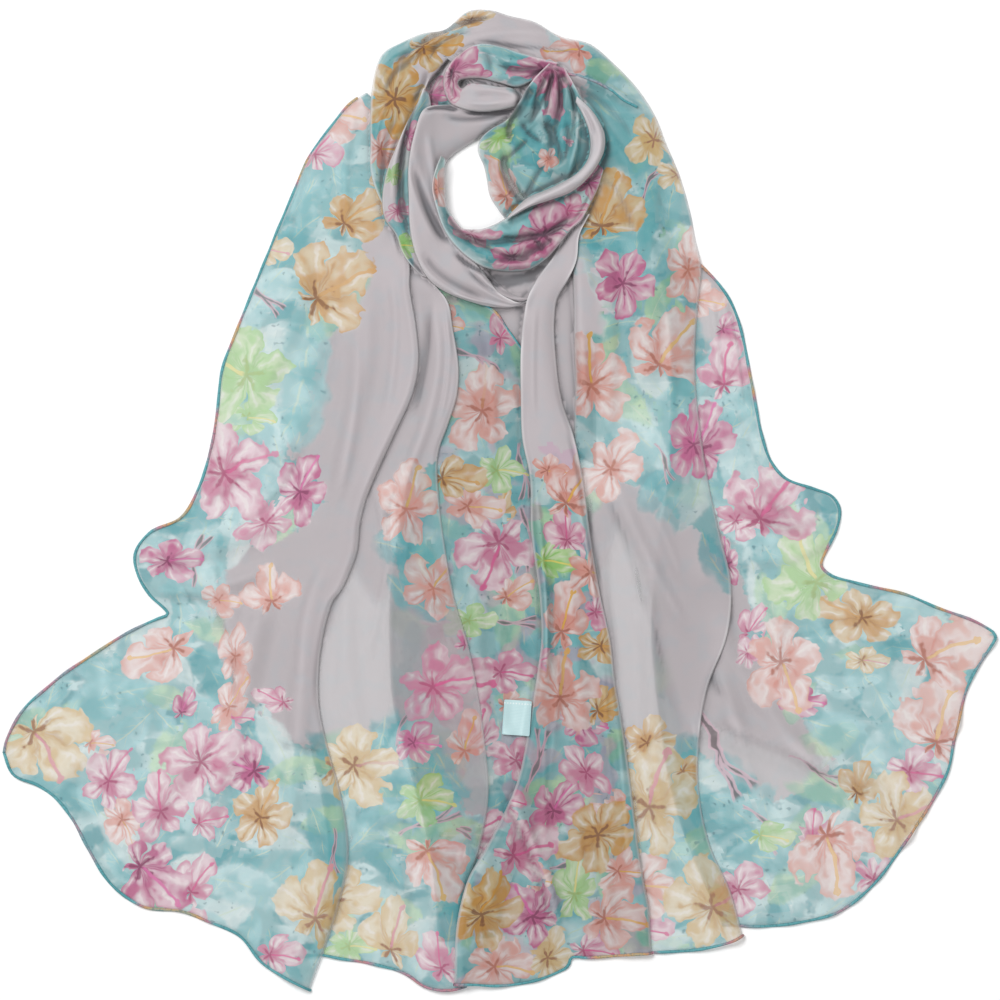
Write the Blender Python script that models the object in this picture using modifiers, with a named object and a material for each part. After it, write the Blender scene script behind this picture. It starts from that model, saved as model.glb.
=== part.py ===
"""A rectangular chiffon scarf laid flat: wound once round a neck loop, with both ends fanned out below it.

Each stretch of cloth that shows is its own thin closed wall, lofted through a short table of sections.
The stretches are laid from the bottom up, and each one settles over those that are already there.
X runs to the right, Y runs up the scarf towards the loop, and Z runs up from the surface it lies on.
"""

from collections import namedtuple

import bpy
import numpy as np
from mathutils import Vector
from mathutils.bvhtree import BVHTree

MM = 0.001

# Driving dimensions, in metres.
CLOTH_WALL = 1.2 * MM
LAYER_GAP = 0.4 * MM
EDGE_ROLL_RADIUS = 4 * MM
EDGE_ROLL_FADE = 22 * MM
HEM_REACH = 0.22

# How finely a wall settles over what is beneath it.
SPREAD_ROUNDS = 14
SETTLE_ROUNDS = 16
SETTLE_SHARE = 1.1
FACE_SAMPLES = 5
PROBE_HEIGHT = 0.2

COLLECTION = "chiffon_scarf"

# A section crosses a stretch from its outer edge to its inner edge, in millimetres.
# crown is the height of its middle, and the rolls are the heights of the folded edges.
Section = namedtuple("Section", "outer_x outer_y inner_x inner_y crown outer_roll inner_roll")

# A point of the rolled hem, from the outer corner to the inner one, in millimetres.
Hem = namedtuple("Hem", "x y")

# A soft fold runs from one point past a second to a third, with a width to its left and right.
# A fold with a negative rise is a crease.
Fold = namedtuple("Fold", "from_x from_y by_x by_y to_x to_y left_width right_width rise")

# A stretch: its name, faces across and along, colour, section table, hem table and fold table.
Stretch = namedtuple("Stretch", "name across along color sections hem folds")

GREY = (0.55, 0.52, 0.53, 1)
TURQUOISE = (0.27, 0.60, 0.60, 1)
PINK = (0.66, 0.36, 0.45, 1)
WHITE = (0.80, 0.80, 0.78, 1)

# Plain cloth at the bottom of the loop, which shows in the pocket and between the two ends.
UNDER_LAYER = [
    Section(-22, 182, 63, 185, 5, 0, 0),
    Section(-26, 162, 64, 162, 4, 0, 0),
    Section(-20, 136, 65, 136, 3, 0, 0),
    Section(-7, 116, 65, 109, 2, 0, 0),
    Section(3, 92, 65, 78, 1, 0, 0),
    Section(10, 68, 65, 51, 0, 0, 0),
    Section(14, 48, 65, 24, 0, 0, 0),
]

# Right end, outer part: it comes out from under the wrap, lobes out, and ends in the right corner.
RIGHT_OUTER_END = [
    Section(134, 162, 102, 177, 0, 0, 0),
    Section(148, 148, 109, 150, 0, 0, 0),
    Section(158, 132, 114, 122, 1, 0, 0),
    Section(165, 110, 116, 99, 1, 0, 0),
    Section(171, 81, 116, 71, 1, 0, 0),
    Section(178, 43, 115, 34, 1, 0, 0),
    Section(184, 27, 114, 15, 0, 0, 0),
    Section(194, 15, 112, -1, 0, 0, 0),
    Section(214, 7, 109, -18, 0, 0, 0),
    Section(226, 2, 107, -32, 0, 0, 0),
    Section(231, -7, 106, -43, 0, 0, 0),
    Section(229, -20, 105, -53, 0, 0, 0),
    Section(221, -36, 104, -63, 0, 0, 0),
    Section(218, -44, 103, -71, 0, 0, 0),
    Section(224, -51, 103, -83, 0, 0, 0),
    Section(241, -56, 103, -99, 0, 0, 0),
    Section(272, -63, 105, -122, 0, 0, 0),
    Section(296, -73, 109, -153, 0, 0, 0),
    Section(320, -81, 114, -187, 0, 0, 0),
    Section(333, -88, 124, -224, 0, 0, 0),
    Section(337, -94, 151, -289, 0, 0, 0),
]
RIGHT_OUTER_HEM = [
    Hem(337, -94), Hem(333, -101), Hem(319, -124), Hem(309, -163), Hem(305, -183),
    Hem(298, -197), Hem(284, -220), Hem(267, -245), Hem(250, -265), Hem(231, -280),
    Hem(203, -287), Hem(171, -290), Hem(151, -289),
]
RIGHT_OUTER_FOLDS = [
    Fold(227, -49, 204, -67, 178, -102, 18, 3, 4),
    Fold(160, 68, 169, 14, 208, -31, 11, 10, 3),
    Fold(218, 0, 190, -14, 150, 14, 10, 10, 4),
    Fold(226, -24, 197, -38, 151, -41, 8, 10, 4),
    Fold(136, -144, 204, -175, 265, -202, 16, 6, 5),
    Fold(139, -68, 171, -129, 238, -204, 12, 10, 4),
    Fold(238, -75, 282, -129, 323, -160, 12, 12, 4),
    Fold(214, -150, 258, -204, 296, -246, 12, 12, 4),
    Fold(184, -197, 209, -245, 230, -289, 11, 11, 4),
    Fold(146, -95, 163, -163, 197, -272, 10, 11, 4),
]

# Left end, inner strip: the flowered border between the pleat and the right end.
LEFT_INNER_END = [
    Section(-61, 178, -41, 167, 2, 0, 0),
    Section(-51, 162, -37, 152, 3, 0, 1),
    Section(-54, 143, -22, 137, 3, 0, 2),
    Section(-54, 129, -4, 128, 3, 0, 2),
    Section(-51, 116, 5, 116, 3, 0, 2),
    Section(-48, 101, 15, 102, 3, 0, 2),
    Section(-48, 75, 27, 78, 2, 0, 0),
    Section(-51, 48, 29, 48, 1, 0, 0),
    Section(-61, 20, 31, 20, 0, 0, 0),
    Section(-67, -7, 34, -10, 0, 0, 0),
    Section(-71, -34, 35, -41, 0, 0, 0),
    Section(-75, -68, 39, -75, 0, 0, 0),
    Section(-75, -102, 41, -105, 0, 0, 0),
    Section(-73, -136, 38, -136, 0, 0, 0),
    Section(-65, -170, 35, -167, 0, 0, 0),
    Section(-56, -204, 31, -197, 0, 0, 0),
    Section(-48, -238, 20, -231, 0, 0, 0),
    Section(-44, -272, 7, -265, 0, 0, 0),
    Section(-42, -299, -3, -296, 0, 0, 0),
]
LEFT_INNER_FOLDS = [
    Fold(-14, 129, -5, 68, -14, -14, 8, 7, 3),
    Fold(-20, -41, -14, -122, -8, -245, 8, 5, 4),
]

# Left end, pleat: the plain strip beside the outer part, which widens to the middle of the hem.
LEFT_PLEAT_END = [
    Section(-69, 177, -53, 170, 2, 0, 0),
    Section(-69, 159, -50, 155, 2, 0, 2),
    Section(-69, 150, -44, 146, 3, 0, 3),
    Section(-69, 138, -36, 136, 3, 0, 3),
    Section(-68, 119, -32, 117, 3, 0, 4),
    Section(-67, 95, -28, 90, 3, 0, 4),
    Section(-69, 73, -29, 72, 2, 0, 4),
    Section(-82, 46, -35, 52, 1, 0, 4),
    Section(-94, 20, -42, 31, 0, 0, 4),
    Section(-103, -7, -41, -2, 0, 0, 4),
    Section(-107, -35, -37, -34, 0, 0, 3),
    Section(-120, -65, -31, -66, 0, 0, 3),
    Section(-132, -95, -22, -97, 0, 0, 2),
    Section(-134, -129, -15, -131, 0, 0, 2),
    Section(-129, -167, -10, -167, 0, 0, 2),
    Section(-121, -204, -8, -203, 0, 0, 2),
    Section(-117, -238, -14, -238, 0, 0, 3),
    Section(-121, -272, -23, -268, 0, 0, 4),
    Section(-131, -296, -24, -299, 0, 0, 4),
    Section(-139, -311, -23, -331, 0, 0, 3),
]
LEFT_PLEAT_HEM = [
    Hem(-139, -311), Hem(-122, -309), Hem(-107, -312), Hem(-85, -316), Hem(-62, -323),
    Hem(-52, -330), Hem(-31, -333), Hem(-23, -331),
]
LEFT_PLEAT_FOLDS = [
    Fold(-48, 136, -46, 68, -87, -27, 7, 7, 3),
    Fold(-102, -41, -102, -129, -80, -204, 10, 10, 3),
    Fold(-87, -204, -69, -258, -65, -330, 10, 8, 4),
]

# Left end, outer part: from behind the loop, past the left lobe, to the left corner and the hem.
LEFT_OUTER_END = [
    Section(-91, 277, -69, 258, 3, 0, 0),
    Section(-101, 270, -68, 238, 4, 0, 0),
    Section(-112, 257, -67, 211, 5, 0, 0),
    Section(-131, 231, -65, 187, 5, 0, 0),
    Section(-142, 204, -63, 173, 5, 0, 2),
    Section(-154, 177, -61, 160, 4, 0, 5),
    Section(-169, 139, -61, 143, 3, 0, 6),
    Section(-180, 113, -57, 119, 2, 0, 6),
    Section(-188, 92, -55, 97, 2, 0, 6),
    Section(-192, 61, -59, 73, 1, 0, 6),
    Section(-197, 34, -71, 46, 1, 0, 6),
    Section(-205, 7, -83, 20, 0, 0, 6),
    Section(-217, -12, -91, 0, 0, 0, 5),
    Section(-238, -22, -95, -17, 0, 0, 5),
    Section(-248, -38, -97, -35, 0, 0, 5),
    Section(-245, -53, -102, -49, 0, 0, 5),
    Section(-238, -65, -107, -60, 0, 0, 5),
    Section(-226, -78, -114, -70, 0, 0, 5),
    Section(-231, -80, -116, -76, 0, 0, 5),
    Section(-252, -90, -120, -92, 0, 0, 5),
    Section(-274, -103, -123, -116, 0, 0, 4),
    Section(-296, -118, -122, -145, 0, 0, 4),
    Section(-309, -129, -116, -171, 0, 0, 4),
    Section(-321, -139, -107, -204, 0, 0, 4),
    Section(-330, -151, -103, -245, 0, 0, 5),
    Section(-335, -162, -110, -277, 0, 0, 5),
    Section(-337, -172, -129, -333, 0, 0, 5),
]
LEFT_OUTER_HEM = [
    Hem(-337, -172), Hem(-331, -186), Hem(-314, -194), Hem(-302, -203), Hem(-290, -218),
    Hem(-279, -238), Hem(-264, -262), Hem(-243, -276), Hem(-215, -280), Hem(-198, -287),
    Hem(-177, -296), Hem(-160, -316), Hem(-144, -326), Hem(-129, -333),
]
LEFT_OUTER_FOLDS = [
    Fold(-237, -68, -194, -72, -182, -129, 18, 3, 4),
    Fold(-238, -33, -194, -33, -124, 0, 10, 11, 5),
    Fold(-238, -57, -204, -61, -143, -41, 8, 10, 4),
    Fold(-136, 177, -141, 116, -180, 54, 11, 12, 4),
    Fold(-124, 136, -133, 68, -177, -27, 14, 18, 4),
    Fold(-95, 143, -94, 82, -121, -27, 11, 11, 3),
    Fold(-162, -61, -177, -136, -214, -272, 15, 12, 5),
    Fold(-136, -95, -141, -190, -162, -306, 11, 11, 4),
    Fold(-211, -109, -258, -156, -313, -197, 14, 11, 4),
    Fold(-189, -150, -231, -204, -252, -258, 12, 11, 4),
]

# A bare care label, which lies on the inner strip with its side under the right end.
CARE_LABEL = [
    Section(2, -135, 21, -137, 0.4, 0, 0),
    Section(1, -148, 20, -148, 0.4, 0, 0),
    Section(1, -160, 20, -160, 0.4, 0, 0),
]

# Loop, back turn: the shadowed strip inside the left shoulder of the wrap.
BACK_TURN = [
    Section(-26, 310, -15, 303, 8, 0, 0),
    Section(-35, 305, -16, 292, 9, 0, 0),
    Section(-44, 295, -15, 283, 9, 0, 0),
    Section(-50, 286, -14, 273, 9, 0, 0),
    Section(-56, 276, -20, 264, 8, 0, 0),
    Section(-60, 265, -35, 254, 7, 0, 0),
    Section(-63, 254, -44, 246, 6, 0, 0),
]

# Outer wrap: up the left shoulder, over the top, and down as the main panel of the right end.
OUTER_WRAP = [
    Section(-73, 189, -67, 194, 4, 0, 0),
    Section(-80, 201, -68, 205, 6, 0, 0),
    Section(-88, 224, -68, 230, 10, 0, 0),
    Section(-88, 239, -63, 245, 12, 0, 0),
    Section(-88, 264, -52, 272, 14, 0, 0),
    Section(-87, 280, -49, 282, 15, 0, 0),
    Section(-80, 303, -42, 291, 15, 0, 0),
    Section(-67, 311, -33, 299, 15, 0, 0),
    Section(-53, 317, -26, 290, 14, 0, 0),
    Section(-37, 320, -20, 277, 14, 0, 0),
    Section(-22, 332, -12, 268, 15, 0, 0),
    Section(-7, 333, -1, 264, 16, 0, 0),
    Section(7, 329, 10, 261, 16, 0, 0),
    Section(23, 325, 20, 260, 16, 0, 0),
    Section(41, 315, 31, 258, 15, 0, 0),
    Section(61, 310, 39, 256, 14, 0, 0),
    Section(78, 296, 45, 252, 13, 0, 0),
    Section(94, 279, 49, 245, 12, 0, 0),
    Section(105, 262, 52, 238, 11, 0, 0),
    Section(113, 242, 53, 227, 10, 0, 0),
    Section(122, 221, 53, 214, 9, 0, 0),
    Section(129, 197, 54, 200, 8, 0, 0),
    Section(133, 177, 50, 180, 7, 0, 2),
    Section(137, 158, 49, 158, 6, 0, 5),
    Section(135, 136, 50, 133, 5, 1, 6),
    Section(133, 109, 50, 105, 4, 2, 6),
    Section(133, 80, 51, 78, 3, 2, 5),
    Section(136, 49, 50, 49, 2, 2, 3),
    Section(141, 16, 50, 17, 1, 2, 0),
    Section(149, -21, 53, -20, 1, 2, 0),
    Section(157, -58, 60, -58, 0, 1, 0),
    Section(154, -92, 67, -92, 0, 1, 0),
    Section(141, -127, 71, -126, 0, 2, 0),
    Section(135, -167, 78, -167, 0, 3, 0),
    Section(136, -204, 83, -204, 0, 4, 0),
    Section(143, -235, 88, -235, 0, 4, 0),
    Section(156, -264, 92, -265, 0, 4, 0),
    Section(165, -296, 94, -306, 0, 4, 0),
]
OUTER_WRAP_HEM = [
    Hem(165, -296), Hem(160, -299), Hem(139, -305), Hem(112, -307), Hem(94, -308),
]
OUTER_WRAP_FOLDS = [
    Fold(5, 328, -54, 309, -86, 257, 5, 5, -4),
    Fold(-38, 311, -56, 301, -71, 286, 4, 4, -3),
    Fold(37, 289, 71, 280, 103, 258, 3, 6, 3),
    Fold(95, 238, 103, 163, 97, 48, 12, 12, 4),
    Fold(71, 180, 76, 116, 72, 20, 8, 8, 3),
    Fold(101, -27, 103, -136, 117, -313, 11, 10, 4),
]

# Loop, left wrap: the striped strand down the left side.
LEFT_WRAP = [
    Section(-52, 279, -48, 275, 10, 0, 0),
    Section(-56, 269, -46, 264, 11, 0, 0),
    Section(-64, 254, -49, 252, 13, 0, 0),
    Section(-71, 238, -52, 237, 14, 0, 0),
    Section(-77, 223, -53, 220, 14, 0, 0),
    Section(-80, 204, -52, 204, 13, 0, 0),
    Section(-78, 190, -49, 189, 12, 0, 0),
    Section(-71, 180, -46, 177, 10, 0, 0),
    Section(-67, 169, -44, 166, 9, 0, 0),
    Section(-61, 160, -41, 155, 6, 0, 0),
    Section(-53, 152, -37, 147, 5, 0, 0),
]
LEFT_WRAP_FOLDS = [
    Fold(-54, 268, -67, 224, -60, 170, 4, 4, -4),
]

# Loop, pocket fold: the second edge inside the plain band.
POCKET_FOLD = [
    Section(-26, 177, -16, 170, 8, 0, 0),
    Section(-23, 166, -8, 155, 8, 0, 0),
    Section(-16, 154, -1, 147, 8, 0, 0),
    Section(-7, 143, 5, 142, 7, 0, 0),
    Section(3, 137, 12, 138, 6, 0, 0),
    Section(14, 134, 22, 137, 4, 0, 0),
]

# Loop, plain band: round the top left of the hole, down its left side and under its front.
GREY_BAND = [
    Section(13, 273, 14, 257, 9, 0, 0),
    Section(0, 272, 1, 253, 10, 0, 0),
    Section(-14, 271, -13, 246, 10, 0, 0),
    Section(-26, 269, -25, 239, 11, 0, 0),
    Section(-37, 268, -32, 234, 12, 0, 0),
    Section(-46, 267, -37, 228, 13, 0, 0),
    Section(-52, 264, -39, 220, 14, 0, 0),
    Section(-58, 248, -39, 211, 14, 0, 0),
    Section(-62, 228, -38, 201, 15, 0, 0),
    Section(-62, 204, -35, 189, 15, 0, 0),
    Section(-61, 182, -29, 180, 15, 0, 0),
    Section(-56, 163, -22, 169, 14, 0, 0),
    Section(-48, 149, -14, 158, 14, 0, 0),
    Section(-37, 141, -7, 149, 13, 0, 0),
    Section(-22, 135, -1, 141, 11, 0, 0),
    Section(-5, 131, 7, 136, 8, 0, 0),
    Section(9, 131, 15, 134, 6, 0, 0),
    Section(22, 136, 23, 140, 4, 0, 0),
]
GREY_BAND_FOLDS = [
    Fold(-61, 238, -49, 196, -33, 173, 5, 5, -4),
    Fold(-52, 170, -37, 150, 0, 133, 5, 5, -3),
]

# Right end, inner part: the plain strip from under the front of the loop, which lies over both ends.
RIGHT_INNER_END = [
    Section(45, 189, 61, 194, 8, 0, 0),
    Section(42, 177, 54, 180, 9, 0, 0),
    Section(35, 164, 52, 163, 10, 0, 0),
    Section(25, 150, 46, 149, 11, 0, 0),
    Section(19, 138, 39, 137, 11, 0, 0),
    Section(16, 124, 37, 123, 11, 0, 0),
    Section(14, 101, 38, 97, 10, 0, 0),
    Section(14, 71, 42, 68, 8, 1, 2),
    Section(15, 42, 50, 44, 6, 3, 4),
    Section(20, 17, 56, 17, 4, 4, 5),
    Section(21, -20, 61, -21, 2, 5, 6),
    Section(27, -68, 69, -68, 1, 5, 6),
    Section(28, -95, 75, -95, 0, 5, 6),
    Section(25, -119, 78, -121, 0, 5, 6),
    Section(20, -150, 83, -151, 0, 5, 6),
    Section(12, -190, 89, -194, 0, 5, 5),
    Section(2, -214, 93, -228, 0, 5, 5),
    Section(-10, -237, 97, -255, 0, 5, 5),
    Section(-22, -258, 101, -275, 0, 5, 5),
    Section(-29, -286, 102, -289, 0, 4, 4),
    Section(-31, -329, 103, -308, 0, 3, 4),
]
RIGHT_INNER_HEM = [
    Hem(-31, -329), Hem(-17, -329), Hem(-5, -330), Hem(5, -330), Hem(30, -325), Hem(41, -320),
    Hem(46, -317), Hem(48, -311), Hem(59, -311), Hem(103, -308),
]
RIGHT_INNER_FOLDS = [
    Fold(0, -190, 22, -238, 49, -318, 12, 4, 5),
    Fold(38, -14, 50, -95, 57, -204, 11, 10, 4),
    Fold(65, -218, 71, -265, 75, -316, 10, 8, 4),
]

# Loop, cap roll: a gathered roll above the hole, which turns back under itself on the left.
CAP_ROLL = [
    Section(39, 296, 37, 290, 10, 0, 0),
    Section(27, 299, 24, 284, 12, 0, 0),
    Section(13, 303, 11, 279, 14, 0, 0),
    Section(1, 307, -1, 282, 14, 0, 0),
    Section(-14, 309, -14, 285, 14, 0, 0),
    Section(-22, 306, -22, 285, 14, 0, 0),
    Section(-32, 298, -27, 284, 14, 0, 0),
    Section(-38, 288, -28, 282, 13, 0, 0),
    Section(-38, 278, -27, 280, 12, 0, 0),
    Section(-34, 269, -25, 279, 12, 0, 0),
    Section(-26, 265, -21, 282, 11, 0, 0),
    Section(-14, 263, -13, 282, 11, 0, 0),
    Section(0, 264, -1, 280, 11, 0, 0),
    Section(10, 266, 8, 279, 9, 0, 0),
    Section(17, 267, 15, 275, 5, 0, 0),
]
CAP_ROLL_FOLDS = [
    Fold(38, 294, 24, 290, -5, 292, 4, 4, -4),
]

# Loop, right strand: from the gather down the right side of the hole.
RIGHT_STRAND = [
    Section(33, 295, 44, 292, 10, 0, 0),
    Section(24, 286, 48, 285, 12, 0, 0),
    Section(18, 278, 53, 277, 13, 0, 0),
    Section(13, 269, 57, 269, 14, 0, 0),
    Section(5, 258, 61, 260, 14, 0, 0),
    Section(-7, 251, 64, 252, 14, 0, 0),
    Section(-14, 244, 65, 243, 14, 0, 0),
    Section(-15, 237, 65, 235, 14, 0, 0),
    Section(-11, 227, 61, 226, 14, 0, 0),
    Section(-9, 218, 56, 218, 13, 0, 0),
    Section(-7, 207, 47, 211, 12, 0, 0),
    Section(-1, 197, 34, 205, 10, 0, 0),
    Section(5, 189, 22, 199, 8, 0, 0),
]
RIGHT_STRAND_FOLDS = [
    Fold(38, 292, 31, 275, 16, 245, 4, 4, -4),
    Fold(41, 291, 41, 272, 33, 231, 4, 4, -4),
    Fold(43, 290, 50, 272, 48, 231, 3, 3, -3),
    Fold(0, 238, 8, 211, 27, 201, 5, 5, -4),
]

# Loop, front band: the flowered band along the bottom of the hole.
FRONT_BAND = [
    Section(-40, 233, -37, 231, 10, 0, 0),
    Section(-44, 223, -37, 222, 12, 0, 0),
    Section(-46, 211, -37, 211, 13, 0, 0),
    Section(-43, 197, -36, 199, 14, 0, 0),
    Section(-39, 185, -31, 191, 15, 0, 0),
    Section(-33, 175, -26, 185, 16, 0, 0),
    Section(-23, 165, -20, 184, 16, 0, 0),
    Section(-12, 158, -13, 184, 17, 0, 0),
    Section(2, 155, -4, 187, 18, 0, 0),
    Section(19, 156, 5, 192, 18, 0, 0),
    Section(31, 163, 16, 199, 18, 0, 0),
    Section(41, 174, 27, 204, 17, 0, 0),
    Section(49, 184, 39, 210, 16, 0, 0),
    Section(55, 189, 49, 216, 15, 0, 0),
    Section(61, 200, 57, 223, 14, 0, 0),
    Section(67, 213, 63, 230, 10, 0, 0),
    Section(70, 223, 67, 236, 8, 0, 0),
]
FRONT_BAND_FOLDS = [
    Fold(-37, 201, -15, 175, 46, 189, 5, 5, -5),
    Fold(-14, 162, 20, 169, 58, 204, 5, 5, -4),
]

# Loop, crescent: the plain folded edge from the right of the loop to the bottom of the hole.
CRESCENT = [
    Section(52, 273, 51, 269, 8, 0, 0),
    Section(61, 265, 56, 260, 10, 0, 0),
    Section(67, 257, 60, 249, 12, 0, 0),
    Section(71, 248, 61, 239, 13, 0, 0),
    Section(71, 238, 59, 230, 14, 0, 0),
    Section(67, 228, 53, 222, 15, 0, 0),
    Section(59, 217, 44, 216, 16, 0, 0),
    Section(48, 208, 31, 210, 16, 0, 0),
    Section(35, 203, 19, 205, 15, 0, 0),
    Section(20, 198, 10, 197, 13, 0, 0),
    Section(9, 192, 4, 190, 11, 0, 0),
]

# From the bottom up: each stretch lies over all the ones before it.
STRETCHES = [
    Stretch("under_layer", 6, 6, GREY, UNDER_LAYER, None, []),
    Stretch("right_outer_end", 16, 32, TURQUOISE, RIGHT_OUTER_END, RIGHT_OUTER_HEM, RIGHT_OUTER_FOLDS),
    Stretch("left_inner_end", 8, 22, TURQUOISE, LEFT_INNER_END, None, LEFT_INNER_FOLDS),
    Stretch("left_pleat_end", 8, 24, GREY, LEFT_PLEAT_END, LEFT_PLEAT_HEM, LEFT_PLEAT_FOLDS),
    Stretch("left_outer_end", 16, 36, TURQUOISE, LEFT_OUTER_END, LEFT_OUTER_HEM, LEFT_OUTER_FOLDS),
    Stretch("care_label", 2, 2, WHITE, CARE_LABEL, None, []),
    Stretch("back_turn", 5, 6, GREY, BACK_TURN, None, []),
    Stretch("outer_wrap", 12, 64, TURQUOISE, OUTER_WRAP, OUTER_WRAP_HEM, OUTER_WRAP_FOLDS),
    Stretch("left_wrap", 6, 14, GREY, LEFT_WRAP, None, LEFT_WRAP_FOLDS),
    Stretch("pocket_fold", 5, 7, GREY, POCKET_FOLD, None, []),
    Stretch("grey_band", 8, 24, GREY, GREY_BAND, None, GREY_BAND_FOLDS),
    Stretch("right_inner_end", 11, 30, GREY, RIGHT_INNER_END, RIGHT_INNER_HEM, RIGHT_INNER_FOLDS),
    Stretch("cap_roll", 6, 20, PINK, CAP_ROLL, None, CAP_ROLL_FOLDS),
    Stretch("right_strand", 9, 16, TURQUOISE, RIGHT_STRAND, None, RIGHT_STRAND_FOLDS),
    Stretch("front_band", 8, 22, PINK, FRONT_BAND, None, FRONT_BAND_FOLDS),
    Stretch("crescent", 5, 16, GREY, CRESCENT, None, []),
]


def start_scene():
    for thing in list(bpy.data.objects):
        bpy.data.objects.remove(thing)
    collection = bpy.data.collections.new(COLLECTION)
    bpy.context.scene.collection.children.link(collection)
    return collection


def cloth_material(name, color):
    material = bpy.data.materials.new(name)
    material.use_nodes = True
    shader = material.node_tree.nodes["Principled BSDF"]
    shader.inputs["Base Color"].default_value = color
    shader.inputs["Roughness"].default_value = 0.6
    shader.inputs["Metallic"].default_value = 0.0
    return material


def smooth_curve(knots, values, at):
    """Values at the given places of a smooth curve that passes through each knot's value."""
    steps = np.diff(knots)
    slopes = np.diff(values, axis=0) / steps[:, None]
    inner = (slopes[:-1] * steps[1:, None] + slopes[1:] * steps[:-1, None]) / (steps[1:] + steps[:-1])[:, None]
    tangents = np.vstack([slopes[:1], inner, slopes[-1:]])
    index = np.clip(np.searchsorted(knots, at, side="right") - 1, 0, len(steps) - 1)
    t = ((at - knots[index]) / steps[index])[:, None]
    span = steps[index][:, None]
    start, end = values[index], values[index + 1]
    return (
        (2 * t**3 - 3 * t**2 + 1) * start
        + (t**3 - 2 * t**2 + t) * span * tangents[index]
        + (3 * t**2 - 2 * t**3) * end
        + (t**3 - t**2) * span * tangents[index + 1]
    )


def smooth_step(x):
    x = np.clip(x, 0, 1)
    return x * x * (3 - 2 * x)


def distances_along(points):
    """How far each point lies along the line through them, from 0 to 1."""
    steps = np.linalg.norm(np.diff(points, axis=0), axis=1)
    along = np.concatenate([[0], np.cumsum(steps)])
    return along / along[-1]


def plan_of(stretch):
    """The stretch's grid of points in plan, with its section values at each row."""
    rows = np.array(stretch.sections, float) * MM
    middle = (rows[:, 0:2] + rows[:, 2:4]) / 2
    edges = np.linalg.norm(np.diff(rows[:, 0:2], axis=0), axis=1) + np.linalg.norm(np.diff(rows[:, 2:4], axis=0), axis=1)
    knots = np.concatenate([[0], np.cumsum(edges + np.linalg.norm(np.diff(middle, axis=0), axis=1))])
    values = smooth_curve(knots, rows, np.linspace(0, knots[-1], stretch.along + 1))
    even = np.linspace(0, 1, stretch.across + 1)
    across = 0.6 * even + 0.4 * (1 - np.cos(np.pi * even)) / 2
    outer, inner = values[:, None, 0:2], values[:, None, 2:4]
    plan = outer + (inner - outer) * across[None, :, None]
    if stretch.hem:
        hem = np.array(stretch.hem, float) * MM
        curve = smooth_curve(distances_along(hem), hem, across)
        along = np.linspace(0, 1, stretch.along + 1)
        share = smooth_step((along - 1 + HEM_REACH) / HEM_REACH)
        plan = plan + (curve - plan[-1])[None, :, :] * share[:, None, None]
    return plan, across, values[:, 4:]


def edge_roll(distance):
    """A folded edge's height at a distance from the edge, as a share of its roll."""
    up = np.sqrt(np.clip(distance / EDGE_ROLL_RADIUS, 0, 1))
    away = np.clip(distance - EDGE_ROLL_RADIUS, 0, None) / EDGE_ROLL_FADE
    return up * np.exp(-(away**2))


def fold_height(plan, fold):
    """The height that one fold adds at each point of the grid."""
    start = np.array([fold.from_x, fold.from_y]) * MM
    middle = np.array([fold.by_x, fold.by_y]) * MM
    end = np.array([fold.to_x, fold.to_y]) * MM
    pull = 2 * middle - (start + end) / 2
    t = np.linspace(0, 1, 33)[:, None]
    line = (1 - t) ** 2 * start + 2 * t * (1 - t) * pull + t**2 * end
    heading = np.gradient(line, axis=0)
    away = plan[:, :, None, :] - line
    nearest = np.argmin((away**2).sum(-1), axis=2)
    offset = np.take_along_axis(away, nearest[:, :, None, None], axis=2)[:, :, 0]
    direction = heading[nearest]
    side = direction[..., 0] * offset[..., 1] - direction[..., 1] * offset[..., 0]
    width = np.where(side > 0, fold.left_width, fold.right_width) * MM
    share = np.clip(1 - np.linalg.norm(offset, axis=2) / width, 0, 1)
    ends = smooth_step(np.minimum(nearest, 32 - nearest) / 8)
    return fold.rise * MM * smooth_step(share) * ends


def own_heights(stretch, plan, across, columns):
    """The top of the stretch as it would lie on the bare surface."""
    width = np.linalg.norm(plan[:, -1] - plan[:, 0], axis=1)[:, None]
    crown, outer_roll, inner_roll = columns[:, 0:1], columns[:, 1:2], columns[:, 2:3]
    arch = np.sqrt(np.clip(1 - np.abs(2 * across - 1) ** 2.4, 0, 1))
    heights = crown * arch[None, :]
    heights = heights + outer_roll * edge_roll(across[None, :] * width)
    heights = heights + inner_roll * edge_roll((1 - across[None, :]) * width)
    for fold in stretch.folds:
        heights = heights + fold_height(plan, fold)
    return CLOTH_WALL + np.clip(heights, 0, None)


def top_of(bed, x, y):
    """The height of what already lies at a place, or zero."""
    if bed is None:
        return 0.0
    hit = bed.ray_cast(Vector((x, y, PROBE_HEIGHT)), Vector((0, 0, -1)))[0]
    return hit.z if hit else 0.0


def spread(need):
    """The lift that clears what is beneath, eased off around it as cloth would be."""
    lift = need.copy()
    for _ in range(SPREAD_ROUNDS):
        wide = np.pad(lift, 1, mode="edge")
        mean = (wide[:-2, 1:-1] + wide[2:, 1:-1] + wide[1:-1, :-2] + wide[1:-1, 2:]) / 4
        lift = np.maximum(need, mean)
    return lift


def wall_mesh(name, plan, heights):
    """The open top face of a stretch."""
    rows, columns = heights.shape
    points = np.dstack([plan, heights]).reshape(-1, 3)
    faces = []
    for r in range(rows - 1):
        for c in range(columns - 1):
            a = r * columns + c
            b, d = a + 1, a + columns
            faces += [(a, b, d), (b, d + 1, d)]
    mesh = bpy.data.meshes.new(name)
    mesh.from_pydata(points.tolist(), [], faces)
    if mesh.polygons[len(faces) // 2].normal.z < 0:
        mesh.flip_normals()
    mesh.shade_smooth()
    return mesh


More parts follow.
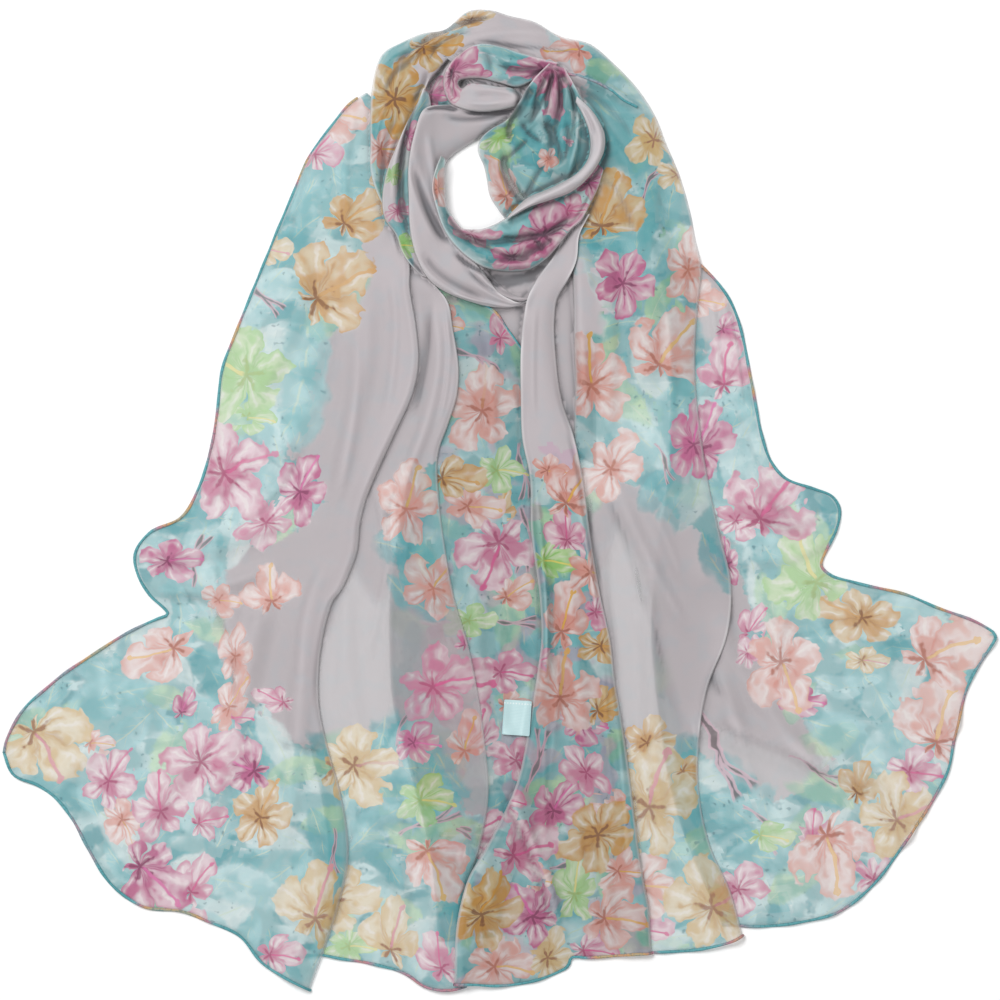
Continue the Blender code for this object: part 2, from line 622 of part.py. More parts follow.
def finished_shape(walls):
    """The points and faces of these objects with their walls applied."""
    depsgraph = bpy.context.evaluated_depsgraph_get()
    points, faces = [], []
    for wall in walls:
        shape = wall.evaluated_get(depsgraph).to_mesh()
        first = len(points)
        points += [vertex.co.copy() for vertex in shape.vertices]
        faces += [[first + i for i in face.vertices] for face in shape.polygons]
    return points, faces


def points_on(corners):
    """Evenly spread points of one face, with its corners."""
    shares = [i / FACE_SAMPLES for i in range(FACE_SAMPLES + 1)]
    first, last = corners[0], corners[-1]
    return [
        first.lerp(corner, s).lerp(last, t)
        for corner in corners[1:-1]
        for s in shares
        for t in shares
    ]


def shortfalls(wall, count, bed, bed_points):
    """How much each grid point must rise for its wall to clear the bed."""
    points, faces = finished_shape([wall])
    short = np.zeros(count)

    def raise_face(face, missing):
        for i in face:
            short[i % count] = max(short[i % count], missing)

    for face in faces:
        for point in points_on([points[i] for i in face]):
            top = top_of(bed, point.x, point.y)
            if point.z < top + LAYER_GAP and (top > 0 or point.z < 0):
                raise_face(face, top + LAYER_GAP - point.z)
    own = BVHTree.FromPolygons(points, faces)
    for point in bed_points:
        hit, _, index, _ = own.ray_cast(Vector((point.x, point.y, -PROBE_HEIGHT)), Vector((0, 0, 1)))
        if hit and hit.z < point.z + LAYER_GAP:
            raise_face(faces[index], point.z + LAYER_GAP - hit.z)
    return short


def lay_stretch(stretch, laid, collection):
    plan, across, columns = plan_of(stretch)
    heights = own_heights(stretch, plan, across, columns)
    bed_points, bed_faces = finished_shape(laid)
    bed = BVHTree.FromPolygons(bed_points, bed_faces) if laid else None
    tops = np.array([[top_of(bed, x, y) for x, y in row] for row in plan])
    clear = np.where(tops > 0, tops + LAYER_GAP + CLOTH_WALL, 0)
    lift = spread(np.clip(clear - heights, 0, None))
    mesh = wall_mesh(stretch.name, plan, heights + lift)
    mesh.materials.append(cloth_material(stretch.name, stretch.color))
    wall = bpy.data.objects.new(stretch.name, mesh)
    collection.objects.link(wall)
    shell = wall.modifiers.new("wall", "SOLIDIFY")
    shell.thickness = CLOTH_WALL
    shell.offset = -1
    for _ in range(SETTLE_ROUNDS if laid else 0):
        bpy.context.view_layer.update()
        short = shortfalls(wall, heights.size, bed, bed_points).reshape(heights.shape)
        short[short < 0.02 * MM] = 0
        if short.max() == 0:
            break
        lift = spread(lift + short * SETTLE_SHARE)
        mesh.vertices.foreach_set("co", np.dstack([plan, heights + lift]).ravel())
        mesh.update()
    return wall


collection = start_scene()
laid = []
for stretch in STRETCHES:
    laid.append(lay_stretch(stretch, laid, collection))
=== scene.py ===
"""A flowered chiffon scarf laid flat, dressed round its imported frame.

It is sheer printed cloth with rolled hems and a bare care label.
"""

from collections import namedtuple

import bpy
import numpy as np
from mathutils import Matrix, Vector


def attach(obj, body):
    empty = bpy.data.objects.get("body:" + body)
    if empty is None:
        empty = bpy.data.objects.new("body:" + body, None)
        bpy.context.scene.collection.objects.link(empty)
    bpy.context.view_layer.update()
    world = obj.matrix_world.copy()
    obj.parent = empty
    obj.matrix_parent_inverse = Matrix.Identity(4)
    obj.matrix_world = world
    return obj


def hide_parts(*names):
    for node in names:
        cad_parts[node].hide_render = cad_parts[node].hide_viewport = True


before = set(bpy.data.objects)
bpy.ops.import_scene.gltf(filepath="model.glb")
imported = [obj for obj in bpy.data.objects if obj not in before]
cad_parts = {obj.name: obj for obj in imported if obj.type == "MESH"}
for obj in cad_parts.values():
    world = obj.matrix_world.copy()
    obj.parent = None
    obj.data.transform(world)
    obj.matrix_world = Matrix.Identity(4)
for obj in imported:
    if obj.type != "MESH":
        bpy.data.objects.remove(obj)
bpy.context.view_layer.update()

MM = 0.001


# The surface, the light and the camera. The scarf lies on a plain white board under one broad soft
# lamp, a little to its upper left, and the camera looks straight down from far enough to keep the
# loop in place over the ends.
BOARD_SIZE = 6.0
BOARD_WHITE = (0.93, 0.93, 0.93, 1)
BOARD_GLOW = 0.04
ROOM_STRENGTH = 0.48
CAMERA_HEIGHT = 4.0
FRAME_WIDTH = 0.68
SENSOR_WIDTH = 36.0


def new_material(name):
    """A fresh material, with its node tree and its main shader."""
    made = bpy.data.materials.new(name)
    made.use_nodes = True
    return made, made.node_tree, made.node_tree.nodes["Principled BSDF"]


bpy.ops.object.select_all(action="DESELECT")
bpy.ops.mesh.primitive_plane_add(size=BOARD_SIZE, location=(0, 0, 0))
board = bpy.context.object
board.name = "board"
board_white, _, board_shader = new_material("board_white")
board_shader.inputs["Base Color"].default_value = BOARD_WHITE
board_shader.inputs["Roughness"].default_value = 0.9
board_shader.inputs["Emission Color"].default_value = (1, 1, 1, 1)
board_shader.inputs["Emission Strength"].default_value = BOARD_GLOW
board.data.materials.append(board_white)

room = bpy.data.worlds.new("white_room")
bpy.context.scene.world = room
room.use_nodes = True
room.node_tree.nodes["Background"].inputs["Color"].default_value = (1, 1, 1, 1)
room.node_tree.nodes["Background"].inputs["Strength"].default_value = ROOM_STRENGTH


def soft_lamp(name, place, size, watts):
    """A broad square lamp that faces the scarf."""
    lamp = bpy.data.lights.new(name, "AREA")
    lamp.size = size
    lamp.energy = watts
    holder = bpy.data.objects.new(name, lamp)
    bpy.context.scene.collection.objects.link(holder)
    holder.location = place
    holder.rotation_euler = (Vector((0, 0, 0)) - Vector(place)).to_track_quat("-Z", "Y").to_euler()


soft_lamp("overhead_softbox", (-0.8, 0.9, 2.5), size=1.1, watts=56)
soft_lamp("fill_softbox", (1.6, -1.0, 2.4), size=2.0, watts=9)

eye = bpy.data.cameras.new("overhead")
eye.sensor_width = SENSOR_WIDTH
eye.lens = SENSOR_WIDTH * CAMERA_HEIGHT / FRAME_WIDTH
camera = bpy.data.objects.new("overhead", eye)
bpy.context.scene.collection.objects.link(camera)
camera.location = (0, 0, CAMERA_HEIGHT)
bpy.context.scene.camera = camera
bpy.context.scene.view_settings.view_transform = "Standard"


# The cloth. It is one length of sheer polyester chiffon, 0.50 m by 1.60 m, and each stretch of it that
# shows is a thin shell lofted through a few sections. A stretch lies on those before it, so they are
# laid in order, and a height map of the board keeps what is already there.
CHIFFON = 0.5 * MM
LAYER_STEP = 1.6 * MM
BARE_BOARD = 0.2 * MM
CLEAR_CELLS = 2
CLEAR_ROUNDS = 3
EASE_ROUNDS = 90
MAP_HALF = 0.36
MAP_CELL = 1 * MM
HEM_REACH = 0.22
EVEN_SHARE = 0.6
ARCH_POWER = 2.4
EDGE_ROLL_RADIUS = 4 * MM
EDGE_ROLL_FADE = 22 * MM
EDGE_UNIT = 10 * MM
EDGE_FAR = 3
FOLD_STEPS = 48
FOLD_END_STEPS = 12
CRINKLE_RISE = 0.45 * MM
CRINKLE_WIDTH = 17 * MM
CRINKLE_BEND = 60 * MM
CRINKLE_WAVES = 5
CRINKLE_LEANS = (-0.35, 0.35)
CRINKLE_SIZES = (0.6, 1.5)
CRINKLE_SEED = 500
ANY_SHIFT = (0, 6.3)
SWELL_LENGTH = 45 * MM
SWELL_WIDTH = 38 * MM
FLUTTER_WIDTH = 4.2 * MM
FLUTTER_FADE = 16 * MM
SIDE_BEATS = (21 * MM, 8.5 * MM)
FOOT_BEATS = (23 * MM, 9.5 * MM)
# The relief sets the painted shade in hollows and the painted light on crests, and pressed creases add to its
# depth.
RELIEF_DEPTH = 5 * MM
RELIEF_BLUR = 30
OWN_RELIEF_REACH = 8 * MM
HIDDEN_DEPTH = 1.2 * MM
CREASE_SHARE = 0.6

# The tables below hold plain rows, with every length in millimetres. A section crosses a stretch from
# its outer edge to its inner edge. crown is the height of its middle, and the rolls are the heights of
# its folded edges, each of them nought where the row leaves it out.
Section = namedtuple(
    "Section", "outer_x outer_y inner_x inner_y crown outer_roll inner_roll", defaults=(0, 0, 0))

# A soft fold runs from one point past a second to a third, with a width to its left and right.
# A fold with a negative rise is a crease.
Fold = namedtuple("Fold", "from_x from_y by_x by_y to_x to_y left_width right_width rise")

height_map = np.zeros((int(2 * MAP_HALF / MAP_CELL),) * 2)
pieces = {}


def smooth_curve(knots, values, at):
    """Values at the given places of a smooth curve that passes through each knot's value."""
    steps = np.diff(knots)
    slopes = np.diff(values, axis=0) / steps[:, None]
    before, after = steps[:-1, None], steps[1:, None]
    inner = (slopes[:-1] * after + slopes[1:] * before) / (after + before)
    tangents = np.vstack([slopes[:1], inner, slopes[-1:]])
    index = np.clip(np.searchsorted(knots, at, side="right") - 1, 0, len(steps) - 1)
    t = ((at - knots[index]) / steps[index])[:, None]
    span = steps[index][:, None]
    start, end = values[index], values[index + 1]
    return (
        (2 * t**3 - 3 * t**2 + 1) * start
        + (t**3 - 2 * t**2 + t) * span * tangents[index]
        + (3 * t**2 - 2 * t**3) * end
        + (t**3 - t**2) * span * tangents[index + 1]
    )


def smooth_step(x):
    """0 up to nought and 1 from one on, with soft ends."""
    x = np.clip(x, 0, 1)
    return x * x * (3 - 2 * x)


def distances_along(points):
    """How far each point lies along the line through them."""
    steps = np.linalg.norm(np.diff(points, axis=0), axis=1)
    return np.concatenate([[0], np.cumsum(steps)])


def plan_of(sections, hem, cell):
    """A stretch's grid of points in plan, its places across, and its section values at each row."""
    rows = np.array([Section(*row) for row in sections], float) * MM
    outer, inner = rows[:, 0:2], rows[:, 2:4]
    middle = (outer + inner) / 2
    edges = np.linalg.norm(np.diff(outer, axis=0), axis=1) + np.linalg.norm(np.diff(inner, axis=0), axis=1)
    knots = np.concatenate([[0], np.cumsum(edges + np.linalg.norm(np.diff(middle, axis=0), axis=1))])
    length = max(distances_along(outer)[-1], distances_along(inner)[-1])
    width = np.linalg.norm(outer - inner, axis=1).max()
    along = int(length / cell)
    even = np.linspace(0, 1, int(width / cell) + 3)
    values = smooth_curve(knots, rows, np.linspace(0, knots[-1], along + 1))
    across = EVEN_SHARE * even + (1 - EVEN_SHARE) * (1 - np.cos(np.pi * even)) / 2
    outer, inner = values[:, None, 0:2], values[:, None, 2:4]
    plan = outer + (inner - outer) * across[None, :, None]
    if hem:
        points = np.array(hem, float) * MM
        knots = distances_along(points)
        curve = smooth_curve(knots / knots[-1], points, across)
        share = smooth_step((np.linspace(0, 1, along + 1) - 1 + HEM_REACH) / HEM_REACH)
        plan = plan + (curve - plan[-1])[None, :, :] * share[:, None, None]
    return plan, across, values[:, 4:]


def edge_roll(distance):
    """A folded edge's height at a distance from the edge, as a share of its roll."""
    up = np.sqrt(np.clip(distance / EDGE_ROLL_RADIUS, 0, 1))
    away = np.clip(distance - EDGE_ROLL_RADIUS, 0, None) / EDGE_ROLL_FADE
    return up * np.exp(-(away**2))


def fold_height(plan, fold):
    """The height that one fold adds at each point of the grid."""
    start = np.array([fold.from_x, fold.from_y]) * MM
    middle = np.array([fold.by_x, fold.by_y]) * MM
    end = np.array([fold.to_x, fold.to_y]) * MM
    pull = 2 * middle - (start + end) / 2
    t = np.linspace(0, 1, FOLD_STEPS + 1)[:, None]
    line = (1 - t) ** 2 * start + 2 * t * (1 - t) * pull + t**2 * end
    heading = np.gradient(line, axis=0)
    heading /= np.linalg.norm(heading, axis=1)[:, None]
    added = np.zeros(plan.shape[:2])
    reach = max(fold.left_width, fold.right_width) * MM
    near = (plan > line.min(0) - reach).all(2) & (plan < line.max(0) + reach).all(2)
    if not near.any():
        return added
    away = plan[near][:, None, :] - line
    nearest = np.argmin((away**2).sum(-1), axis=1)
    offset = np.take_along_axis(away, nearest[:, None, None], axis=1)[:, 0]
    direction = heading[nearest]
    side = direction[:, 0] * offset[:, 1] - direction[:, 1] * offset[:, 0]
    past_end = np.where(nearest == 0, -1, np.where(nearest == FOLD_STEPS, 1, 0))
    run = (direction * offset).sum(1) * past_end
    width = np.where(side > 0, fold.left_width, fold.right_width) * MM
    share = np.clip(1 - np.abs(side) / width, 0, 1)
    ends = smooth_step(np.minimum(nearest, FOLD_STEPS - nearest) / FOLD_END_STEPS) * (run < reach)
    added[near] = fold.rise * MM * smooth_step(share) * ends
    return added


def flutter_height(rise, along, away, beats):
    """The uneven beat of a rolled hem along its edge, which dies out away from it."""
    slow, quick = beats
    beat = along / FLUTTER_WIDTH + 1.8 * np.sin(along / slow) + 0.9 * np.sin(along / quick)
    return rise * MM * (0.5 + 0.5 * np.sin(beat)) * np.exp(-((away / FLUTTER_FADE) ** 2))


def crinkle(plan, across, seed, flutter):
    """The small unevenness of soft chiffon, mostly along its length, with a flutter at its rolled hems."""
    rng = np.random.default_rng(CRINKLE_SEED + seed)
    width = np.linalg.norm(plan[:, -1] - plan[:, 0], axis=1)[:, None] * across[None, :]
    length = np.linalg.norm(np.diff(plan, axis=0), axis=2)
    length = np.concatenate([np.zeros((1, len(across))), np.cumsum(length, axis=0)])
    rise = np.zeros(plan.shape[:2])
    for _ in range(CRINKLE_WAVES):
        shift, lean, size = (rng.uniform(*span) for span in (ANY_SHIFT, CRINKLE_LEANS, CRINKLE_SIZES))
        bend = np.sin(length / CRINKLE_BEND / size + shift * 2) * 1.4
        wave = (width + lean * length) / (CRINKLE_WIDTH / 2) / size * 3.1 / np.pi
        rise += np.sin(wave + bend + shift) / CRINKLE_WAVES
    swell = np.sin(length / SWELL_LENGTH + rng.uniform(*ANY_SHIFT))
    swell = 0.6 + 0.4 * swell * np.sin(width / SWELL_WIDTH + rng.uniform(*ANY_SHIFT))
    outer, foot = flutter
    rise = CRINKLE_RISE * (1 + rise * swell)
    rise = rise + flutter_height(outer, length, width, SIDE_BEATS)
    return rise + flutter_height(foot, width, length[-1:] - length, FOOT_BEATS)


def own_heights(plan, across, columns, folds):
    """The top of a stretch as it would lie on the bare board, and how deep its creases are pressed in."""
    width = np.linalg.norm(plan[:, -1] - plan[:, 0], axis=1)[:, None]
    crown, outer_roll, inner_roll = columns[:, 0:1], columns[:, 1:2], columns[:, 2:3]
    arch = np.sqrt(np.clip(1 - np.abs(2 * across - 1) ** ARCH_POWER, 0, 1))
    heights = crown * arch[None, :]
    heights = heights + outer_roll * edge_roll(across[None, :] * width)
    heights = heights + inner_roll * edge_roll((1 - across[None, :]) * width)
    creases = np.zeros(heights.shape)
    for fold in folds:
        added = fold_height(plan, Fold(*fold))
        heights = heights + added
        creases = creases + np.minimum(added, 0)
    return CHIFFON + np.clip(heights, 0, None), creases


def widest(field, cells):
    """Each cell takes the highest value within a few cells of it."""
    for axis in (0, 1):
        wide = field.copy()
        for shift in range(-cells, cells + 1):
            wide = np.maximum(wide, np.roll(field, shift, axis=axis))
        field = wide
    return field


def blurred(field, rounds):
    """Each cell is evened out with its neighbours, over and over."""
    for _ in range(rounds):
        for axis in (0, 1):
            field = (np.roll(field, 1, axis) + np.roll(field, -1, axis) + 2 * field) / 4
    return field


def map_places(plan):
    """Where points of the plan fall on the height map, in cells."""
    return (plan + MAP_HALF) / MAP_CELL - 0.5


def read_map(field, plan):
    """The field's values at points of the plan."""
    places = map_places(plan)
    low = np.clip(np.floor(places).astype(int), 0, field.shape[0] - 2)
    share = places - low
    x, y, s, t = low[..., 0], low[..., 1], share[..., 0], share[..., 1]
    return (
        field[y, x] * (1 - s) * (1 - t)
        + field[y, x + 1] * s * (1 - t)
        + field[y + 1, x] * (1 - s) * t
        + field[y + 1, x + 1] * s * t
    )


def mark_map(points, parts=4):
    """Writes a stretch's heights on the map wherever they are the highest yet."""
    t = np.linspace(0, 1, parts, endpoint=False)[:, None, None]
    rows = (points[:-1, None] * (1 - t) + points[1:, None] * t).reshape(-1, *points.shape[1:])
    dense = (rows[:, :-1, None] * (1 - t[:, 0]) + rows[:, 1:, None] * t[:, 0]).reshape(-1, 3)
    cells = np.clip(np.round(map_places(dense[:, :2])).astype(int), 0, height_map.shape[0] - 1)
    np.maximum.at(height_map, (cells[:, 1], cells[:, 0]), dense[:, 2])


def around_each(field):
    """The sum of the four neighbours of each point of a grid."""
    wide = np.pad(field, 1, mode="edge")
    return wide[:-2, 1:-1] + wide[2:, 1:-1] + wide[1:-1, :-2] + wide[1:-1, 2:]


def eased(need):
    """The lift that clears what is beneath, eased off around it as cloth would be."""
    lift = need.copy()
    for _ in range(EASE_ROUNDS):
        lift = np.maximum(need, around_each(lift) / 4)
    return lift


def softened(field, rounds):
    """Takes small steps out of a stretch's heights."""
    for _ in range(rounds):
        field = (around_each(field) + 4 * field) / 8
    return field


def flat_places(points):
    """Where each point of a stretch is on the cloth when that is opened out flat, in metres."""
    steps = np.linalg.norm(np.diff(points, axis=1), axis=2)
    steps = steps - np.linalg.norm(np.diff(points[..., :2], axis=1), axis=2)
    extra = np.concatenate([np.zeros((len(points), 1)), np.cumsum(steps, axis=1)], axis=1)
    extra = extra - extra[:, extra.shape[1] // 2][:, None]
    direction = points[:, -1, :2] - points[:, 0, :2]
    direction = direction / np.linalg.norm(direction, axis=1)[:, None]
    return points[..., :2] + direction[:, None, :] * extra[..., None]


def grid_faces(rows, columns):
    """The four-cornered faces of a grid of points."""
    corner = np.arange(rows * columns).reshape(rows, columns)
    return np.stack([corner[:-1, :-1], corner[:-1, 1:], corner[1:, 1:], corner[1:, :-1]], -1).reshape(-1, 4)


def smooth_mesh(name, points, faces):
    """A mesh of these points and faces, shaded smooth."""
    mesh = bpy.data.meshes.new(name)
    mesh.from_pydata(points.reshape(-1, 3).tolist(), [], faces)
    mesh.shade_smooth()
    return mesh


def linked_object(mesh):
    """An object of this mesh, at the origin of the scene."""
    made = bpy.data.objects.new(mesh.name, mesh)
    bpy.context.scene.collection.objects.link(made)
    return made


def mark_points(mesh, name, values):
    """Gives each point of a mesh a value that its material reads."""
    mesh.attributes.new(name, "FLOAT", "POINT").data.foreach_set("value", values.ravel())


def lay_cloth(name, cell, sections, hem=None, folds=(), flutter=(0, 0), **printed):
    """Makes one stretch of the scarf, lays it on what is there, and lets it stand for its node.

    cell is about the size of its mesh's faces, and hem holds the points of its rolled hem at the foot,
    from the outer corner to the inner one. flutter says how far the side hem and the foot hem flutter.
    """
    plan, across, columns = plan_of(sections, hem, cell)
    heights, creases = own_heights(plan, across, columns, folds)
    heights = heights + crinkle(plan, across, len(pieces), flutter)
    under = read_map(blurred(widest(height_map, CLEAR_CELLS), CLEAR_ROUNDS), plan)
    need = np.where(under > BARE_BOARD, under + LAYER_STEP - heights, 0)
    lift = softened(eased(np.clip(need, 0, None)), CLEAR_ROUNDS)
    points = np.dstack([plan, heights + lift])
    mark_map(points)
    quads = grid_faces(*heights.shape)
    first = points.reshape(-1, 3)[quads[len(quads) // 2]]
    if np.cross(first[1] - first[0], first[3] - first[0])[2] < 0:
        quads = quads[:, ::-1]
    mesh = smooth_mesh(name + "_cloth", points, quads.tolist())
    print_on(mesh, quads, plan, flat_places(points), len(pieces), **printed)
    # Each point's distance from the stretch's sides, where a highlight is painted.
    chord = np.linalg.norm(plan[:, -1] - plan[:, 0], axis=1)[:, None]
    edge = np.minimum(across, 1 - across)[None, :] * chord
    mark_points(mesh, "edge_distance", np.minimum(edge / EDGE_UNIT, EDGE_FAR))
    for dyed in [*CHIFFONS, wrong_side]:
        mesh.materials.append(dyed)
    cloth = linked_object(mesh)
    shell = cloth.modifiers.new("thin_shell", "SOLIDIFY")
    shell.thickness = CHIFFON
    shell.offset = -1
    shell.material_offset = len(CHIFFONS)
    shell.material_offset_rim = len(CHIFFONS)
    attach(cloth, "root")
    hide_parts(name)
    down, right = points[1:, :-1] - points[:-1, :-1], points[:-1, 1:] - points[:-1, :-1]
    pieces[name] = {
        "object": cloth, "points": points, "cell": cell, "creases": creases, "with": [],
        "width": float(np.linalg.norm(np.diff(points, axis=1), axis=2).sum(1).max()),
        "length": float(np.linalg.norm(np.diff(points, axis=0), axis=2).sum(0).max()),
        "area": float(np.linalg.norm(np.cross(down, right), axis=2).sum()),
    }
    return points


def mark_relief():
    """Marks how far each point stands above or lies below the cloth around it, once all of it is laid, for the
    painted light and shade.
    """
    around = blurred(height_map, RELIEF_BLUR)
    for piece in pieces.values():
        points = piece["points"]
        z = points[..., 2]
        own = z - softened(z, int(OWN_RELIEF_REACH**2 / piece["cell"] ** 2))
        relief = z - read_map(around, points[..., :2])
        hidden = read_map(height_map, points[..., :2]) > z + HIDDEN_DEPTH
        # Pressed creases count deeper than the cloth lies, so they take more painted shade.
        relief = np.where(hidden, own, relief) + CREASE_SHARE * piece["creases"]
        mark_points(piece["object"].data, "relief", np.clip(relief / RELIEF_DEPTH, -1, 1))


# The print and the weave. The cloth is dyed a pale grey, with a border of blooms over loose
# turquoise leaves. Every stretch carries where each of its motifs lies, and the dyes are mixed from
# that. The print goes through to the wrong side, which is a shade paler.
# Light and shade are painted into the dyes too: a highlight on folded edges and crests, shade in hollows and on
# stacked print.
CLOTH_UNIT = 100 * MM
AREA_FADE = 20 * MM
DOUBLED_DEPTH = -0.2
LAYERED_DEPTH = -1
BORDER_DEPTH = 0.03
FAR_AWAY = 9.0
LEAF_SPACING = 27 * MM
LEAF_SCATTER = 0.4
LEAF_SIZES = (18 * MM, 33 * MM)
LEAF_OFF_CLOTH = 6 * MM
LEAF_ON_PLAIN = 3 * MM
BLOOM_SEED, LEAF_SEED, TWIG_SEED = 100, 200, 300
PLAIN, LEAFY, FLOWERED, CROWDED = range(4)

# The dyes of each kind of bloom: pale petals, their deep flush, their strokes, the throat, the stamen.
BLOOM_DYES = {
    "cream": [(0.72, 0.61, 0.42), (0.60, 0.38, 0.10), (0.40, 0.17, 0.03), (0.26, 0.10, 0.07), (0.66, 0.24, 0.30)],
    "pink": [(0.74, 0.53, 0.59), (0.54, 0.16, 0.28), (0.40, 0.04, 0.15), (0.34, 0.05, 0.13), (0.62, 0.10, 0.26)],
    "peach": [(0.76, 0.59, 0.57), (0.66, 0.27, 0.21), (0.52, 0.12, 0.07), (0.36, 0.11, 0.07), (0.78, 0.42, 0.06)],
    "lime": [(0.52, 0.67, 0.38), (0.26, 0.54, 0.13), (0.17, 0.42, 0.05), (0.26, 0.38, 0.06), (0.74, 0.64, 0.14)],
    "gold": [(0.64, 0.48, 0.25), (0.54, 0.26, 0.04), (0.22, 0.07, 0.02), (0.18, 0.06, 0.03), (0.62, 0.30, 0.04)],
    "mauve": [(0.66, 0.39, 0.48), (0.44, 0.08, 0.21), (0.24, 0.02, 0.11), (0.20, 0.03, 0.09), (0.64, 0.12, 0.34)],
}
PETAL_PALE, PETAL_DEEP, PETAL_STROKE, PETAL_THROAT, STAMEN = zip(*BLOOM_DYES.values())
PETAL_GLOW = (0.84, 0.79, 0.76)
BLOOM_SHIFT = 0.34
PETAL_UNEVEN = 0.12
UNEVEN_SHIFT = 40
TURNED_FROM, TURNED_TO, TURNED_BACK = 0.45, 0.75, 0.20
STAMEN_BEND = 0.16
STAMEN_REACH = 1.02

# The dyes of each kind of leaf: its wash, and its lighter side.
LEAF_DYES = {
    "turquoise": [(0.13, 0.42, 0.45), (0.22, 0.56, 0.60)],
    "teal": [(0.06, 0.32, 0.36), (0.09, 0.42, 0.46)],
    "aqua": [(0.24, 0.53, 0.56), (0.50, 0.73, 0.75)],
    "green": [(0.20, 0.46, 0.30), (0.42, 0.66, 0.32)],
    "white": [(0.48, 0.64, 0.65), (0.68, 0.77, 0.76)],
}
LEAF_WASH, LEAF_LIGHT = zip(*LEAF_DYES.values())
LEAF_VEIN = (0.60, 0.70, 0.42)
LEAF_BEND, LEAF_ASIDE = 0.16, 0.06
LEAF_BREADTH, LEAF_TAPER, LEAF_POINT = 0.40, 0.10, 0.7

TWIG_BROWN = (0.16, 0.12, 0.13)
TWIG_PINK = (0.60, 0.36, 0.44)

GROUND_GREY = (0.450, 0.410, 0.427)
GROUND_COOL = (0.418, 0.412, 0.436)
BORDER_WASH = (0.19, 0.42, 0.44)
BORDER_PALE = (0.50, 0.70, 0.71)
BORDER_DEEP = (0.07, 0.28, 0.32)
TANGLE_LILAC = (0.47, 0.30, 0.40)
FLECK_DARK = (0.07, 0.15, 0.18)
# The painted highlight for folded edges and crests, and the painted shade for hollows.
FOLD_HIGHLIGHT_PAINT = (0.82, 0.80, 0.81)
HOLLOW_SHADE_PAINT = (0.05, 0.055, 0.065)
WRONG_SIDE_DYE = (0.40, 0.46, 0.47, 1)
WRONG_SIDE_COVER = 0.12

# The dyes run unevenly, in soft blotches. The sizes are shares of CLOTH_UNIT.
WANDER_SIZE, RAGGED_SIZE, DRAWN_SIZE = 0.13, 0.030, 0.20
WASH_SCALE, WASH_DISTORTION = 2.6, 0.9
WASH_STRETCH, WASH_TURN = (1.0, 2.6, 1.0), (0, 0, 0.6)
PALE_STRENGTH, DEEP_STRENGTH = 0.85, 0.6
LEAF_STRENGTH, TWIG_STRENGTH, BLOOM_STRENGTH = 0.66, 0.85, 0.97
TANGLE_STRENGTH, FLECK_STRENGTH = 0.55, 0.60
# How strong the painted highlight on crests and edges and the painted shade in hollows are, and the value of the
# painted shade on stacked printed cloth.
CREST_HIGHLIGHT_STRENGTH, EDGE_HIGHLIGHT_STRENGTH, HOLLOW_SHADE_STRENGTH = 0.22, 0.62, 0.68
SHADED_VALUE = 0.74
THREADS_EACH_UNIT = 900
THREAD_RISE = 0.4 * MM
STACKED_FROM, STACKED_TO = 3.5 * MM, 13 * MM
SINGLE_COVER, DOUBLED_EXTRA, STACKED_EXTRA, MOST_COVER = 0.50, 0.32, 0.26, 0.95

# Each motif of a table has its middle, its size and its turn in degrees. The size of a bloom runs from
# its middle to the petals' tips, and half a leaf or a twig is as long as its size. A bloom is also
# squeezed across, as a flower is that is seen from the side.
Bloom = namedtuple("Bloom", "x y size kind turn squeeze", defaults=(0, 0.8))
Leaf = namedtuple("Leaf", "x y size kind turn squeeze", defaults=(0, 1))
Twig = namedtuple("Twig", "x y size turn kind squeeze", defaults=("brown", 1))


def inside_depth(places, outline):
    """How far each place is inside an outline, in metres, and less than zero outside it."""
    corners = np.array(outline, float) * MM
    x, y = places[..., 0], places[..., 1]
    nearest = np.full(x.shape, 1e9)
    inside = np.zeros(x.shape, bool)
    for (ax, ay), (bx, by) in zip(corners, np.roll(corners, -1, axis=0)):
        t = np.clip(((x - ax) * (bx - ax) + (y - ay) * (by - ay)) / ((bx - ax) ** 2 + (by - ay) ** 2), 0, 1)
        nearest = np.minimum(nearest, np.hypot(x - ax - t * (bx - ax), y - ay - t * (by - ay)))
        crosses = (ay > y) != (by > y)
        inside ^= crosses & (x < (bx - ax) * (y - ay) / (by - ay + 1e-12) + ax)
    return np.where(inside, nearest, -nearest)


def area_depth(plan, outlines, least=-1):
    """How deep each point lies inside the nearest of some areas, as a share of AREA_FADE."""
    depth = np.full(plan.shape[:2], least * AREA_FADE)
    for outline in outlines:
        depth = np.maximum(depth, inside_depth(plan, outline))
    return np.clip(depth / AREA_FADE, -1, 1)


def bloom_covers(x, y, kinds):
    """Whether a place is within a bloom's petals or stamen, with a little to spare."""
    chance = kinds * len(BLOOM_DYES) % 1
    along = x + chance * BLOOM_SHIFT
    angle, r = np.arctan2(y, along), np.hypot(along, y) + 1e-6
    turned = smooth_step((chance - TURNED_FROM) / (TURNED_TO - TURNED_FROM)) * (1 - along / r) * TURNED_BACK
    petals = np.hypot(x, y) < 1.07 + np.sin(angle * 2 + chance * UNEVEN_SHIFT) * PETAL_UNEVEN - turned
    stamen = (np.abs(y + along * along * STAMEN_BEND) < 0.14) & (along > 0) & (along < STAMEN_REACH + 0.12)
    return petals | stamen


def leaf_covers(x, y, kinds):
    """Whether a place is within a leaf, with a little to spare."""
    half = np.clip(1 - x * x, 0, 1) ** LEAF_POINT * (LEAF_BREADTH - x * LEAF_TAPER)
    return (np.abs(y + x * x * LEAF_BEND - LEAF_ASIDE) < half + 0.16) & (np.abs(x) < 1.08)


def twig_covers(x, y, kinds):
    """Whether a place is near a twig."""
    return (np.abs(x) < 1.08) & (np.abs(y) < 0.62)


